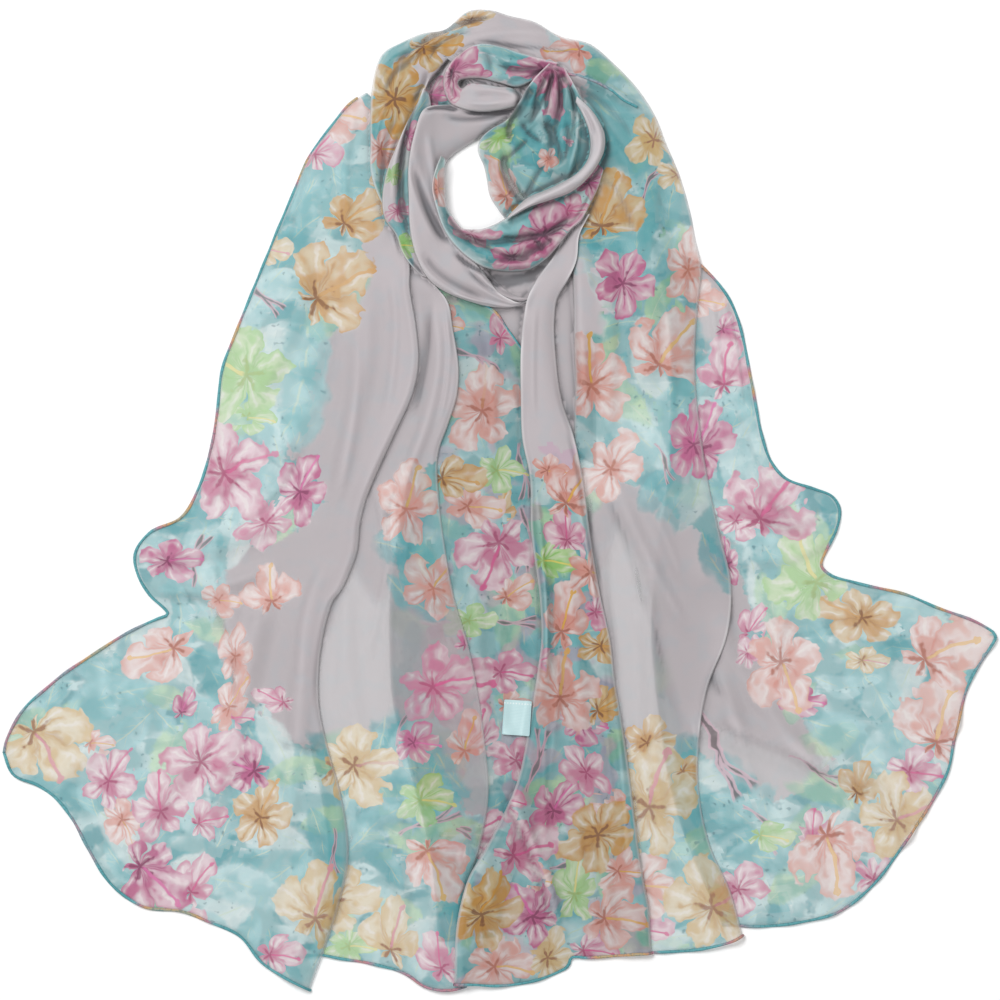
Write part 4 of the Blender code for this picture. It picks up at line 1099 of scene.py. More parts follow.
# Left end, inner strip. It is the flowered border along the cloth's other long edge, and lies between
# the pleat and the right end. Its upper edge turns out as a rolled hem under the loop.
points = lay_cloth("left_inner_end", 3 * MM, [
    (-61, 178, -41, 167, 2), (-51, 162, -37, 152, 3, 0, 1), (-54, 143, -22, 137, 3, 0, 2),
    (-54, 129, -4, 128, 3, 0, 2), (-51, 116, 5, 116, 3, 0, 2), (-48, 101, 15, 102, 3, 0, 2),
    (-48, 75, 27, 78, 2), (-51, 48, 29, 48, 1), (-61, 20, 31, 20), (-67, -7, 34, -10), (-71, -34, 35, -41),
    (-75, -68, 39, -75), (-75, -102, 41, -105), (-73, -136, 38, -136), (-65, -170, 35, -167),
    (-56, -204, 31, -197), (-48, -238, 20, -231), (-44, -272, 7, -265), (-42, -299, -3, -296),
], folds=[
    (-14, 129, -5, 68, -14, -14, 8, 7, 3), (-20, -41, -14, -122, -8, -245, 8, 5, 4),
    (-37, 20, -41, -14, -34, -71, 5, 7, 2), (4, -68, 0, -122, 14, -197, 2, 5, 2.2),
    (0, 20, 4, -7, 5, -31, 2, 3, 1.6), (16, 68, 18, 14, 23, -41, 3, 3, 1.8),
    (0, -231, 4, -272, 0, -299, 2, 5, 2.4), (-15, 136, 0, 124, 11, 106, 3, 4, 1.6),
    (-27, -129, -20, -177, -12, -218, 5, 7, 1.6), (15, -68, 20, -109, 23, -163, 3, 4, -2),
], blooms=[
    (-12, 63, 30, "peach", 90, 1), (-2, -35, 31, "pink", -100, 0.95), (-33, -129, 39, "pink", 20, 1),
    (2, -117, 22, "pink"), (3, 114, 20, "pink", 60), (-41, 119, 18, "peach"), (-33, 15, 24, "gold"),
    (-19, -228, 27, "pink", 40), (-48, -184, 30, "cream", 10, 0.9), (0, 20, 20, "lime"),
    (-20, -82, 20, "lime", 0, 0.7), (14, -177, 24, "pink"), (8, -63, 20, "peach", 40),
    (-18, -4, 22, "peach"), (0, -8, 18, "gold", 80), (8, -140, 18, "peach"), (-14, -160, 23, "pink", 90),
    (-35, -87, 20, "pink"),
], leaves=[
    (-33, -14, 35, "turquoise", 90), (3, -75, 33, "green", -80), (8, 14, 30, "teal", 90),
    (-20, 116, 27, "turquoise", -10), (14, -102, 30, "teal", -100), (27, -54, 24, "green", 80),
    (-44, -197, 27, "aqua", 60), (0, -163, 30, "turquoise", -80),
], twigs=[
    (-19, 98, 23, -30), (16, 20, 20, -80), (19, -27, 23, -84), (7, -82, 18, 0),
], layered=True)
roll_hem("left_inner_end", "left_inner_side_hem", points[: len(points) * 3 // 10, -1])
roll_hem("left_inner_end", "left_inner_foot_hem", points[-1])


# Left end, pleat. It is the plain strip beside the outer part, folded on both sides, which opens to
# the middle of the foot.
points = lay_cloth("left_pleat_end", 3 * MM, [
    (-69, 177, -53, 170, 2), (-69, 159, -50, 155, 2, 0, 2), (-69, 150, -44, 146, 3, 0, 3),
    (-69, 138, -36, 136, 3, 0, 3), (-68, 119, -32, 117, 3, 0, 4), (-67, 95, -28, 90, 3, 0, 4),
    (-69, 73, -29, 72, 2, 0, 4), (-82, 46, -35, 52, 1, 0, 4), (-94, 20, -42, 31, 0, 0, 4),
    (-103, -7, -41, -2, 0, 0, 4), (-107, -35, -37, -34, 0, 0, 3), (-120, -65, -31, -66, 0, 0, 3),
    (-132, -95, -22, -97, 0, 0, 2), (-134, -129, -15, -131, 0, 0, 2), (-129, -167, -10, -167, 0, 0, 2),
    (-121, -204, -8, -203, 0, 0, 2), (-117, -238, -14, -238, 0, 0, 3), (-121, -272, -23, -268, 0, 0, 4),
    (-131, -296, -24, -299, 0, 0, 4), (-139, -311, -23, -331, 0, 0, 3),
], hem=[
    (-139, -311), (-122, -309), (-107, -312), (-85, -316), (-62, -323), (-52, -330), (-31, -333),
    (-23, -331),
], folds=[
    (-48, 136, -46, 68, -87, -27, 7, 7, 3), (-102, -41, -102, -129, -80, -204, 10, 10, 3),
    (-87, -204, -69, -258, -65, -330, 10, 8, 4), (-88, 15, -79, -31, -76, -95, 11, 2, 2),
    (-48, 143, -50, 95, -61, 49, 3, 7, -2), (-38, 136, -35, 88, -44, 46, 3, 3, 1.4),
    (-76, -38, -82, -76, -91, -112, 3, 6, 2.6), (-105, -95, -109, -136, -105, -169, 4, 5, 1.4),
    (-75, -64, -75, -102, -74, -137, 2, 3, 1.6), (-73, -136, -67, -146, -58, -151, 2, 3, 1.4),
    (-106, -253, -90, -223, -39, -199, 3, 11, 3.4), (-76, -208, -65, -238, -67, -292, 3, 7, 2),
    (-54, 0, -63, -27, -65, -61, 4, 5, 2), (-68, 14, -76, -14, -71, -41, 3, 4, -2),
    (-41, -82, -33, -136, -20, -197, 5, 7, 1.4), (-112, -258, -101, -286, -107, -310, 5, 5, 1.8),
    (-48, -252, -41, -292, -44, -329, 4, 5, 1.8), (-54, -95, -46, -150, -37, -204, 4, 6, 1.2),
    (-20, -204, -24, -245, -33, -292, 3, 4, 1.6),
], blooms=[
    (-63, -3, 29, "peach", 80, 0.9), (-44, -58, 26, "peach", 60, 0.9), (-97, -180, 31, "cream", 10, 0.95),
    (-46, -246, 34, "peach", -60), (-73, -298, 30, "cream", 80, 0.9), (-112, -272, 30, "cream", 0, 0.9),
    (-101, -303, 18, "lime"), (-41, -313, 23, "pink", 100), (-82, -330, 20, "cream"),
    (-51, -204, 23, "lime"), (-41, -125, 31, "pink", 20, 0.95), (-23, -165, 23, "peach", 80, 0.85),
    (-56, -165, 18, "mauve"), (-20, -95, 18, "mauve", 40),
], leaves=[
    (-87, -224, 30, "turquoise", 40), (-61, -204, 27, "teal", -30), (-91, -272, 27, "aqua"),
    (-33, -292, 27, "teal", 80), (-105, -218, 23, "aqua", 70), (-68, -184, 20, "turquoise", 10),
], twigs=[
    (-65, -151, 18, 70), (-49, -218, 23, 30), (-34, -224, 16, 0),
], plains=[[
    (-82, 177), (-20, 163), (-17, 75), (-37, 41), (-60, 20), (-75, 5), (-80, -27), (-69, -68), (-41, -79),
    (0, -75), (0, -208), (-20, -208), (-37, -177), (-65, -147), (-87, -155), (-116, -165), (-143, -156),
    (-143, -68), (-116, -14), (-102, 20), (-75, 68),
]], singles=[[
    (-101, -41), (-84, -68), (-76, -54), (-54, -14), (-20, 20), (14, 20), (14, -340), (-150, -340),
    (-136, -136),
]], flutter=(0, 1.1))
roll_hem("left_pleat_end", "left_pleat_foot_hem", points[-1])


# Left end, outer part. It comes from behind the loop, past the left lobe, to the left corner, and its
# outer edge and foot are rolled hems. Its inner edge is a soft fold over the pleat.
points = lay_cloth("left_outer_end", 3 * MM, [
    (-91, 277, -69, 258, 3), (-101, 270, -68, 238, 4), (-112, 257, -67, 211, 5), (-131, 231, -65, 187, 5),
    (-142, 204, -63, 173, 5, 0, 2), (-154, 177, -61, 160, 4, 0, 5), (-169, 139, -61, 143, 3, 0, 6),
    (-180, 113, -57, 119, 2, 0, 6), (-188, 92, -55, 97, 2, 0, 6), (-192, 61, -59, 73, 1, 0, 6),
    (-197, 34, -71, 46, 1, 0, 6), (-205, 7, -83, 20, 0, 0, 6), (-217, -12, -91, 0, 0, 0, 5),
    (-238, -22, -95, -17, 0, 0, 5), (-248, -38, -97, -35, 0, 0, 5), (-245, -53, -102, -49, 0, 0, 5),
    (-238, -65, -107, -60, 0, 0, 5), (-226, -78, -114, -70, 0, 0, 5), (-231, -80, -116, -76, 0, 0, 5),
    (-252, -90, -120, -92, 0, 0, 5), (-274, -103, -123, -116, 0, 0, 4), (-296, -118, -122, -145, 0, 0, 4),
    (-309, -129, -116, -171, 0, 0, 4), (-321, -139, -107, -204, 0, 0, 4), (-330, -151, -103, -245, 0, 0, 5),
    (-335, -162, -110, -277, 0, 0, 5), (-337, -172, -129, -333, 0, 0, 5),
], hem=[
    (-337, -172), (-331, -186), (-314, -194), (-302, -203), (-290, -218), (-279, -238), (-264, -262),
    (-243, -276), (-215, -280), (-198, -287), (-177, -296), (-160, -316), (-144, -326), (-129, -333),
], folds=[
    (-237, -68, -194, -72, -182, -129, 18, 3, 4), (-238, -33, -194, -33, -124, 0, 10, 11, 5),
    (-238, -57, -204, -61, -143, -41, 8, 10, 4), (-136, 177, -141, 116, -180, 54, 11, 12, 4),
    (-124, 136, -133, 68, -177, -27, 14, 18, 4), (-95, 143, -94, 82, -121, -27, 11, 11, 3),
    (-162, -61, -177, -136, -214, -272, 15, 12, 5), (-136, -95, -141, -190, -162, -306, 11, 11, 4),
    (-211, -109, -258, -156, -313, -197, 14, 11, 4), (-189, -150, -231, -204, -252, -258, 12, 11, 4),
    (-105, -65, -117, -97, -122, -139, 3, 6, -3), (-116, -38, -132, -82, -133, -136, 10, 7, 2.5),
    (-165, -158, -137, -169, -113, -166, 5, 7, -2.5), (-101, 136, -99, 68, -113, -11, 6, 10, 2),
    (-76, 156, -71, 109, -80, 46, 5, 5, 1.6), (-116, 253, -135, 218, -146, 162, 5, 8, 2.2),
    (-94, 267, -105, 231, -101, 180, 5, 5, 2), (-182, -238, -194, -269, -200, -287, 6, 5, 1.8),
    (-146, -245, -136, -286, -139, -321, 7, 5, 2), (-128, -204, -116, -245, -118, -299, 7, 6, 2.2),
    (-291, -177, -272, -204, -275, -242, 7, 7, 1.6), (-200, -16, -178, -20, -152, -8, 3, 5, 2.2),
    (-207, -3, -182, 14, -162, 41, 5, 7, 1.6), (-245, -95, -219, -112, -200, -136, 5, 7, 1.8),
    (-186, -95, -180, -136, -189, -177, 3, 6, -2.2), (-313, -136, -292, -163, -283, -197, 7, 8, 1.6),
    (-87, 218, -76, 190, -69, 162, 3, 4, 1.6), (-162, 136, -166, 102, -177, 73, 5, 7, 1.6),
    (-136, 41, -152, 7, -177, -14, 5, 5, 1.6),
], blooms=[
    (-310, -165, 37, "cream", -50, 1), (-228, -103, 30, "peach", 200), (-265, -189, 26, "pink", 60, 0.7),
    (-202, -177, 30, "pink", 30, 1), (-231, -208, 26, "pink", 100, 0.85),
    (-238, -254, 35, "mauve", -35, 0.9), (-173, -182, 27, "mauve", 160, 0.9),
    (-162, -212, 27, "gold", 70, 0.75), (-124, -277, 35, "cream", 80, 0.95),
    (-105, -180, 31, "cream", 10, 0.95), (-180, -105, 23, "peach", 80, 0.6), (-110, 261, 23, "peach", 0, 1),
    (-101, 192, 27, "gold", 40, 0.9), (-116, 143, 41, "gold", 35, 0.9), (-185, 20, 37, "pink", 30, 1),
    (-178, 87, 38, "lime", 160, 1), (-223, -41, 23, "mauve", 10, 0.7), (-135, 8, 26, "mauve", 70, 0.7),
    (-156, -63, 24, "peach", 100, 1), (-124, 238, 19, "pink", 60, 1), (-73, 211, 18, "gold", 0, 1),
    (-211, -296, 23, "pink"), (-152, -309, 20, "pink", 0, 0.9), (-160, -16, 24, "pink", 200, 0.7),
    (-215, -140, 16, "mauve", 70, 0.6), (-182, -137, 23, "peach", 60, 0.6),
    (-256, -219, 22, "peach", -60, 0.6), (-182, -147, 18, "pink"), (-151, -136, 18, "pink", 160, 0.7),
    (-200, -218, 20, "pink", 20), (-207, -261, 23, "pink", 60), (-275, -165, 16, "peach", 0, 0.7),
    (-189, -68, 15, "peach"), (-170, 56, 18, "lime"), (-158, 170, 18, "cream"),
], leaves=[
    (-135, 87, 45, "turquoise", -100), (-162, 136, 27, "aqua", 60), (-173, 20, 30, "turquoise", -70),
    (-267, -136, 34, "turquoise", 20), (-211, -14, 23, "teal", 10), (-204, -58, 27, "aqua", -70),
    (-197, -150, 30, "turquoise", -30), (-186, -224, 27, "teal", 60), (-170, -265, 34, "aqua", -20),
    (-136, -184, 24, "green", 10), (-258, -231, 24, "white", -60), (-122, -231, 23, "teal", -80),
    (-279, -177, 20, "white", -20), (-194, -292, 20, "turquoise", -40), (-224, -136, 20, "green", -20),
    (-128, 211, 27, "turquoise", 70), (-139, 177, 23, "teal", 50),
], twigs=[
    (-162, 141, 20, -40), (-207, -41, 19, 80), (-112, -238, 16, -86),
], plains=[[
    (-61, 187), (-87, 180), (-101, 121), (-121, 101), (-125, 48), (-143, 33), (-121, 20), (-113, -3),
    (-136, -24), (-180, -38), (-194, -75), (-185, -112), (-158, -144), (-136, -162), (-105, -165),
    (-102, -122), (-95, -41), (-75, 20), (-51, 68), (-51, 136),
]], flutter=(1.1, 1.1))
roll_hem("left_outer_end", "left_outer_side_hem", points[3:, 0])
roll_hem("left_outer_end", "left_outer_foot_hem", points[-1])


# Loop, back turn. It is the shadowed strip of plain cloth inside the left shoulder of the wrap, where
# the chiffon turns under itself. Only the cloth around it holds it.
lay_cloth("back_turn", 2 * MM, [
    (-26, 310, -15, 303, 8), (-35, 305, -16, 292, 9), (-44, 295, -15, 283, 9), (-50, 286, -14, 273, 9),
    (-56, 276, -20, 264, 8), (-60, 265, -35, 254, 7), (-63, 254, -44, 246, 6),
], folds=[
    (-26, 306, -41, 292, -52, 267, 3, 4, -3), (-18, 299, -33, 283, -41, 261, 3, 4, 2.4),
], blooms=[
    (-44, 275, 15, "mauve", 0, 0.9),
], plains=[[
    (-68, 320), (0, 320), (0, 279), (-68, 279),
]])


# Outer wrap. One ribbon goes up the left shoulder, over the top of the loop, and down as the main
# panel of the right end, where it ends in a rolled hem.
points = lay_cloth("outer_wrap", 2.6 * MM, [
    (-73, 189, -67, 194, 4), (-80, 201, -68, 205, 6), (-88, 224, -68, 230, 10), (-88, 239, -63, 245, 12),
    (-88, 264, -52, 272, 14), (-87, 280, -49, 282, 15), (-80, 303, -42, 291, 15), (-67, 311, -33, 299, 15),
    (-53, 317, -26, 290, 14), (-37, 320, -20, 277, 14), (-22, 332, -12, 268, 15), (-7, 333, -1, 264, 16),
    (7, 329, 10, 261, 16), (23, 325, 20, 260, 16), (41, 315, 31, 258, 15), (61, 310, 39, 256, 14),
    (78, 296, 45, 252, 13), (94, 279, 49, 245, 12), (105, 262, 52, 238, 11), (113, 242, 53, 227, 10),
    (122, 221, 53, 214, 9), (129, 197, 54, 200, 8), (133, 177, 50, 180, 7, 0, 2),
    (137, 158, 49, 158, 6, 0, 5), (135, 136, 50, 133, 5, 1, 6), (133, 109, 50, 105, 4, 2, 6),
    (133, 80, 51, 78, 3, 2, 5), (136, 49, 50, 49, 2, 2, 3), (141, 16, 50, 17, 1, 2),
    (149, -21, 53, -20, 1, 2), (157, -58, 60, -58, 0, 1), (154, -92, 67, -92, 0, 1),
    (141, -127, 71, -126, 0, 2), (135, -167, 78, -167, 0, 3), (136, -204, 83, -204, 0, 4),
    (143, -235, 88, -235, 0, 4), (156, -264, 92, -265, 0, 4), (165, -296, 94, -306, 0, 4),
], hem=[
    (165, -296), (160, -299), (139, -305), (112, -307), (94, -308),
], folds=[
    (5, 328, -54, 309, -86, 257, 5, 5, -4), (-38, 311, -56, 301, -71, 286, 4, 4, -3),
    (37, 289, 71, 280, 103, 258, 3, 6, 3), (95, 238, 103, 163, 97, 48, 12, 12, 4),
    (71, 180, 76, 116, 72, 20, 8, 8, 3), (101, -27, 103, -136, 117, -313, 11, 10, 4),
    (69, 11, 90, -41, 120, -139, 3, 8, -3.2), (79, 11, 102, -41, 131, -95, 6, 10, 3.2),
    (92, 15, 110, -20, 125, -61, 5, 6, 2.2), (72, -27, 71, -68, 80, -136, 5, 4, 2.4),
    (95, -41, 102, -82, 110, -136, 4, 3, 1.8), (88, -170, 92, -238, 101, -299, 3, 6, 2.2),
    (105, -238, 125, -258, 147, -292, 5, 6, 1.8), (83, -136, 95, -197, 98, -245, 5, 5, 1.6),
    (125, -136, 140, -190, 151, -238, 4, 3, 1.6), (65, 10, 61, -27, 68, -68, 2, 4, -2.6),
    (56, 20, 58, -20, 63, -54, 2, 2, 1.8), (68, -41, 65, -82, 73, -129, 3, 4, -1.8),
    (3, 330, -33, 320, -57, 306, 3, 5, -3.4), (-57, 306, -78, 290, -87, 265, 3, 5, -3),
    (-12, 318, -38, 311, -49, 291, 2, 4, -3.2), (-49, 292, -52, 280, -61, 267, 2, 4, -2.6),
    (-1, 324, -41, 314, -71, 291, 3, 4, 2.2), (-27, 310, 14, 318, 68, 309, 3, 6, 2.4),
    (-18, 309, 20, 307, 71, 302, 3, 3, -2.4), (5, 328, 41, 320, 68, 307, 3, 4, 1.8),
    (38, 290, 67, 283, 95, 265, 2, 4, 2.6), (45, 283, 75, 265, 95, 238, 4, 6, -2.2),
    (52, 272, 76, 245, 95, 211, 5, 7, 2.6), (79, 279, 103, 252, 117, 211, 5, 5, 1.8),
    (-65, 265, -78, 238, -79, 200, 3, 5, -2.2), (-73, 275, -83, 252, -83, 224, 3, 4, 1.8),
    (-68, 252, -67, 231, -71, 207, 3, 3, 1.6), (68, 218, 83, 204, 92, 170, 4, 5, -2.2),
    (61, 197, 68, 163, 72, 116, 3, 5, 1.8), (103, 211, 112, 177, 114, 129, 6, 7, 2),
    (87, 170, 88, 116, 83, 54, 6, 8, 1.8), (120, 190, 125, 150, 124, 109, 3, 4, 1.8),
    (57, 122, 58, 82, 61, 41, 3, 5, 1.8), (112, 116, 117, 68, 114, 20, 5, 5, 1.8),
    (68, 54, 80, 20, 95, 0, 5, 5, 1.6),
], blooms=[
    (71, 196, 35, "gold", 80, 0.9), (84, 148, 27, "mauve", 60, 0.85), (128, 158, 26, "peach", 80),
    (61, 83, 33, "peach", 100, 0.95), (113, 101, 37, "peach", 60, 1), (76, 23, 27, "peach", 60, 0.85),
    (102, -204, 39, "cream", 80, 1), (147, -275, 37, "cream", 30, 1), (132, 41, 27, "mauve", 80),
    (-71, 273, 31, "gold", 70, 0.9), (-46, 307, 26, "gold", 10), (-19, 325, 18, "gold", 0, 0.7),
    (48, 305, 24, "peach", 200), (105, 246, 23, "cream", 60, 0.9), (-79, 238, 18, "peach", 0, 0.9),
    (101, -165, 23, "gold"), (129, -184, 20, "gold", 0, 0.7), (99, -262, 27, "peach"),
    (122, 221, 20, "cream"), (95, -292, 23, "pink"),
], leaves=[
    (79, 69, 31, "green", -30), (95, 187, 30, "turquoise", 80), (71, 116, 23, "turquoise", 20),
    (95, 41, 30, "aqua", -40), (112, 54, 27, "turquoise", 80), (101, 265, 34, "aqua", -40),
    (88, 238, 41, "turquoise", -60), (109, 136, 20, "green", 60), (-80, 295, 23, "turquoise", 60),
    (-87, 258, 20, "teal", 80), (122, -245, 27, "turquoise", -50), (129, -204, 20, "teal", -70),
    (95, -238, 23, "turquoise", -80), (105, -286, 23, "aqua", 10), (117, 204, 23, "turquoise", 80),
], twigs=[
    (102, 216, 15, 60), (112, 26, 15, -60), (73, 207, 18, 200),
], plains=[[
    (51, 177), (72, 136), (76, 107), (51, 105), (41, 136),
], [
    (54, -3), (82, 8), (106, -3), (136, -31), (155, -61), (158, -95), (147, -129), (136, -163), (102, -174),
    (78, -160), (61, -68),
], [
    (-67, 295), (-44, 309), (-20, 324), (0, 332), (31, 320), (54, 295), (51, 265), (0, 252), (-48, 252),
    (-54, 265),
]], singles=[[
    (79, -14), (97, -41), (106, -82), (118, -129), (129, -177), (95, -190), (80, -156), (76, -95),
    (68, -46),
]], flutter=(0, 1.1))
roll_hem("outer_wrap", "outer_wrap_foot_hem", points[-1])
# The far edge of the cloth comes out of the gather and crosses the top of the wrap.
crossing = np.array([(38, 289), (46, 288.5), (54, 287.5), (66, 283), (76, 277), (83, 271), (93, 266)]) * MM
roll_hem("outer_wrap", "outer_wrap_top_hem", np.column_stack([crossing, read_map(height_map, crossing)]))


# Loop, left wrap. It is the striped strand down the left side of the loop, where the flowered border
# is gathered into soft lengthwise folds. The turns beside it hold it in place.
lay_cloth("left_wrap", 1.6 * MM, [
    (-52, 279, -48, 275, 10), (-56, 269, -46, 264, 11), (-64, 254, -49, 252, 13), (-71, 238, -52, 237, 14),
    (-77, 223, -53, 220, 14), (-80, 204, -52, 204, 13), (-78, 190, -49, 189, 12), (-71, 180, -46, 177, 10),
    (-67, 169, -44, 166, 9), (-61, 160, -41, 155, 6), (-53, 152, -37, 147, 5),
], folds=[
    (-54, 268, -67, 224, -60, 170, 4, 4, -4), (-52, 273, -65, 241, -67, 180, 2, 3, -5),
    (-48, 265, -56, 231, -58, 182, 2, 3, -4), (-61, 258, -71, 231, -73, 193, 3, 3, 2),
    (-67, 177, -60, 162, -48, 150, 2, 3, -3),
], blooms=[
    (-60, 246, 14, "mauve"), (-69, 196, 12, "pink"), (-71, 220, 12, "lime"), (-65, 173, 14, "lime"),
], leaves=[
    (-65, 204, 27, "turquoise", 80), (-68, 170, 23, "teal", -60),
], plains=[[
    (-58, 279), (-60, 253), (-68, 224), (-70, 180), (-54, 143), (-88, 143), (-88, 279),
], [
    (-52, 279), (-52, 250), (-60, 224), (-61, 180), (-48, 143), (-27, 143), (-27, 279),
]])


# Loop, pocket fold. It is the second edge inside the plain band, a doubled fold of grey chiffon that
# lies loose against the band.
lay_cloth("pocket_fold", 1.6 * MM, [
    (-26, 177, -16, 170, 8), (-23, 166, -8, 155, 8), (-16, 154, -1, 147, 8), (-7, 143, 5, 142, 7),
    (3, 137, 12, 138, 6), (14, 134, 22, 137, 4),
], folds=[
    (-23, 158, 3, 148, 33, 160, 5, 5, -6), (-19, 162, -5, 147, 16, 136, 2, 3, -2.6),
    (-14, 165, 0, 150, 20, 139, 2, 2, -2.4),
], plains=[[
    (-54, 204), (68, 204), (68, 102), (-54, 102),
]])


# Loop, plain band. It is the cloth's plain middle, folded to a smooth band, and it goes round the top
# left of the hole, down its left side and under its front.
lay_cloth("grey_band", 1.8 * MM, [
    (13, 273, 14, 257, 9), (0, 272, 1, 253, 10), (-14, 271, -13, 246, 10), (-26, 269, -25, 239, 11),
    (-37, 268, -32, 234, 12), (-46, 267, -37, 228, 13), (-52, 264, -39, 220, 14), (-58, 248, -39, 211, 14),
    (-62, 228, -38, 201, 15), (-62, 204, -35, 189, 15), (-61, 182, -29, 180, 15), (-56, 163, -22, 169, 14),
    (-48, 149, -14, 158, 14), (-37, 141, -7, 149, 13), (-22, 135, -1, 141, 11), (-5, 131, 7, 136, 8),
    (9, 131, 15, 134, 6), (22, 136, 23, 140, 4),
], folds=[
    (-61, 238, -49, 196, -33, 173, 5, 5, -4), (-52, 170, -37, 150, 0, 133, 5, 5, -3),
    (-33, 170, -15, 156, 7, 152, 2, 3, -4), (-52, 263, -41, 266, -27, 264, 3, 3, -7),
    (-26, 263, -7, 263, 11, 264, 3, 3, -5), (-58, 245, -54, 204, -41, 170, 6, 7, 2),
    (-27, 162, -7, 143, 15, 134, 2, 3, -3.2), (-15, 162, 0, 144, 24, 138, 2, 3, -3),
    (-41, 261, -19, 258, 8, 264, 3, 4, -2.4), (-49, 252, -45, 224, -41, 204, 4, 4, 1.8),
    (-37, 141, -14, 135, 11, 130, 2, 2, 1.6),
], plains=[[
    (-82, 299), (41, 299), (41, 109), (-82, 109),
]])


# Right end, inner part. It comes from under the front of the loop and lies over both ends, folded
# along both sides, and it ends in a rolled hem.
points = lay_cloth("right_inner_end", 2.8 * MM, [
    (45, 189, 61, 194, 8), (42, 177, 54, 180, 9), (35, 164, 52, 163, 10), (25, 150, 46, 149, 11),
    (19, 138, 39, 137, 11), (16, 124, 37, 123, 11), (14, 101, 38, 97, 10), (14, 71, 42, 68, 8, 1, 2),
    (15, 42, 50, 44, 6, 3, 4), (20, 17, 56, 17, 4, 4, 5), (21, -20, 61, -21, 2, 5, 6),
    (27, -68, 69, -68, 1, 5, 6), (28, -95, 75, -95, 0, 5, 6), (25, -119, 78, -121, 0, 5, 6),
    (20, -150, 83, -151, 0, 5, 6), (12, -190, 89, -194, 0, 5, 5), (2, -214, 93, -228, 0, 5, 5),
    (-10, -237, 97, -255, 0, 5, 5), (-22, -258, 101, -275, 0, 5, 5), (-29, -286, 102, -289, 0, 4, 4),
    (-31, -329, 103, -308, 0, 3, 4),
], hem=[
    (-31, -329), (-17, -329), (-5, -330), (5, -330), (30, -325), (41, -320), (46, -317), (48, -311),
    (59, -311), (103, -308),
], folds=[
    (0, -190, 22, -238, 49, -318, 12, 4, 5), (38, -14, 50, -95, 57, -204, 11, 10, 4),
    (65, -218, 71, -265, 75, -316, 10, 8, 4), (23, 14, 30, -54, 31, -136, 3, 5, 2.4),
    (42, -68, 38, -136, 31, -204, 5, 3, 2), (35, -136, 31, -218, 44, -314, 2, 6, 2.6),
    (4, -204, 26, -238, 42, -292, 2, 8, 3), (69, -95, 73, -163, 79, -245, 3, 6, 1.8),
    (63, -245, 71, -272, 95, -294, 4, 6, 1.8), (-14, -258, 0, -292, -1, -329, 3, 6, 2.4),
    (16, -252, 27, -286, 24, -325, 4, 5, 2), (50, 0, 61, -41, 65, -95, 3, 4, 1.8),
    (45, 48, 53, 20, 57, -14, 3, 3, -1.6), (24, 136, 22, 95, 23, 48, 4, 7, 1.4),
    (52, -204, 56, -252, 61, -306, 3, 6, 2), (8, -218, 0, -252, -15, -286, 4, 5, 1.6),
    (80, -150, 84, -204, 88, -258, 3, 4, 1.8), (33, -41, 35, -82, 34, -129, 3, 3, -1.6),
], blooms=[
    (49, 5, 30, "peach", 60, 0.95), (64, -49, 23, "peach", 0, 0.9), (43, -83, 27, "peach", 80, 0.85),
    (72, -99, 22, "gold", 0, 0.7), (41, -131, 31, "peach", 90, 0.95), (71, -140, 23, "gold", 30, 0.7),
    (58, -184, 23, "pink", 120, 0.7), (15, -239, 31, "pink", 20, 0.95), (65, -228, 30, "gold", 200, 0.9),
    (-11, -277, 31, "gold", 80, 0.9), (20, -280, 27, "mauve", 140, 0.9), (-1, -317, 26, "peach", 0, 0.9),
    (33, -310, 23, "cream", 60), (76, -284, 29, "peach", 0, 0.85), (51, -264, 24, "lime", 90),
    (5, -204, 20, "pink"), (83, -252, 20, "peach"), (33, -41, 20, "lime"), (61, -306, 20, "pink"),
    (38, -208, 26, "mauve", 60, 0.7), (76, -209, 23, "peach", 160, 0.7), (26, -258, 19, "peach"),
    (45, -24, 20, "pink", 100), (27, -109, 18, "pink", 20), (57, -152, 19, "mauve"), (68, -76, 18, "pink"),
    (35, 20, 16, "peach"),
], leaves=[
    (33, -27, 30, "green", -60), (54, -68, 27, "teal", -20), (51, -163, 31, "turquoise", 40),
    (68, -190, 27, "teal", -70), (41, -204, 30, "green", 60), (83, -218, 23, "teal", -80),
    (27, -258, 27, "turquoise", 20), (67, -156, 24, "aqua", 60),
], twigs=[
    (24, -177, 23, 80), (73, -95, 15, -60), (48, -245, 18, 20),
], plains=[[
    (0, 143), (41, 204), (68, 194), (61, 136), (54, 68), (61, 26), (14, 20), (7, 68),
]], flutter=(0, 1.1), layered=True)
roll_hem("right_inner_end", "right_inner_foot_hem", points[-1])


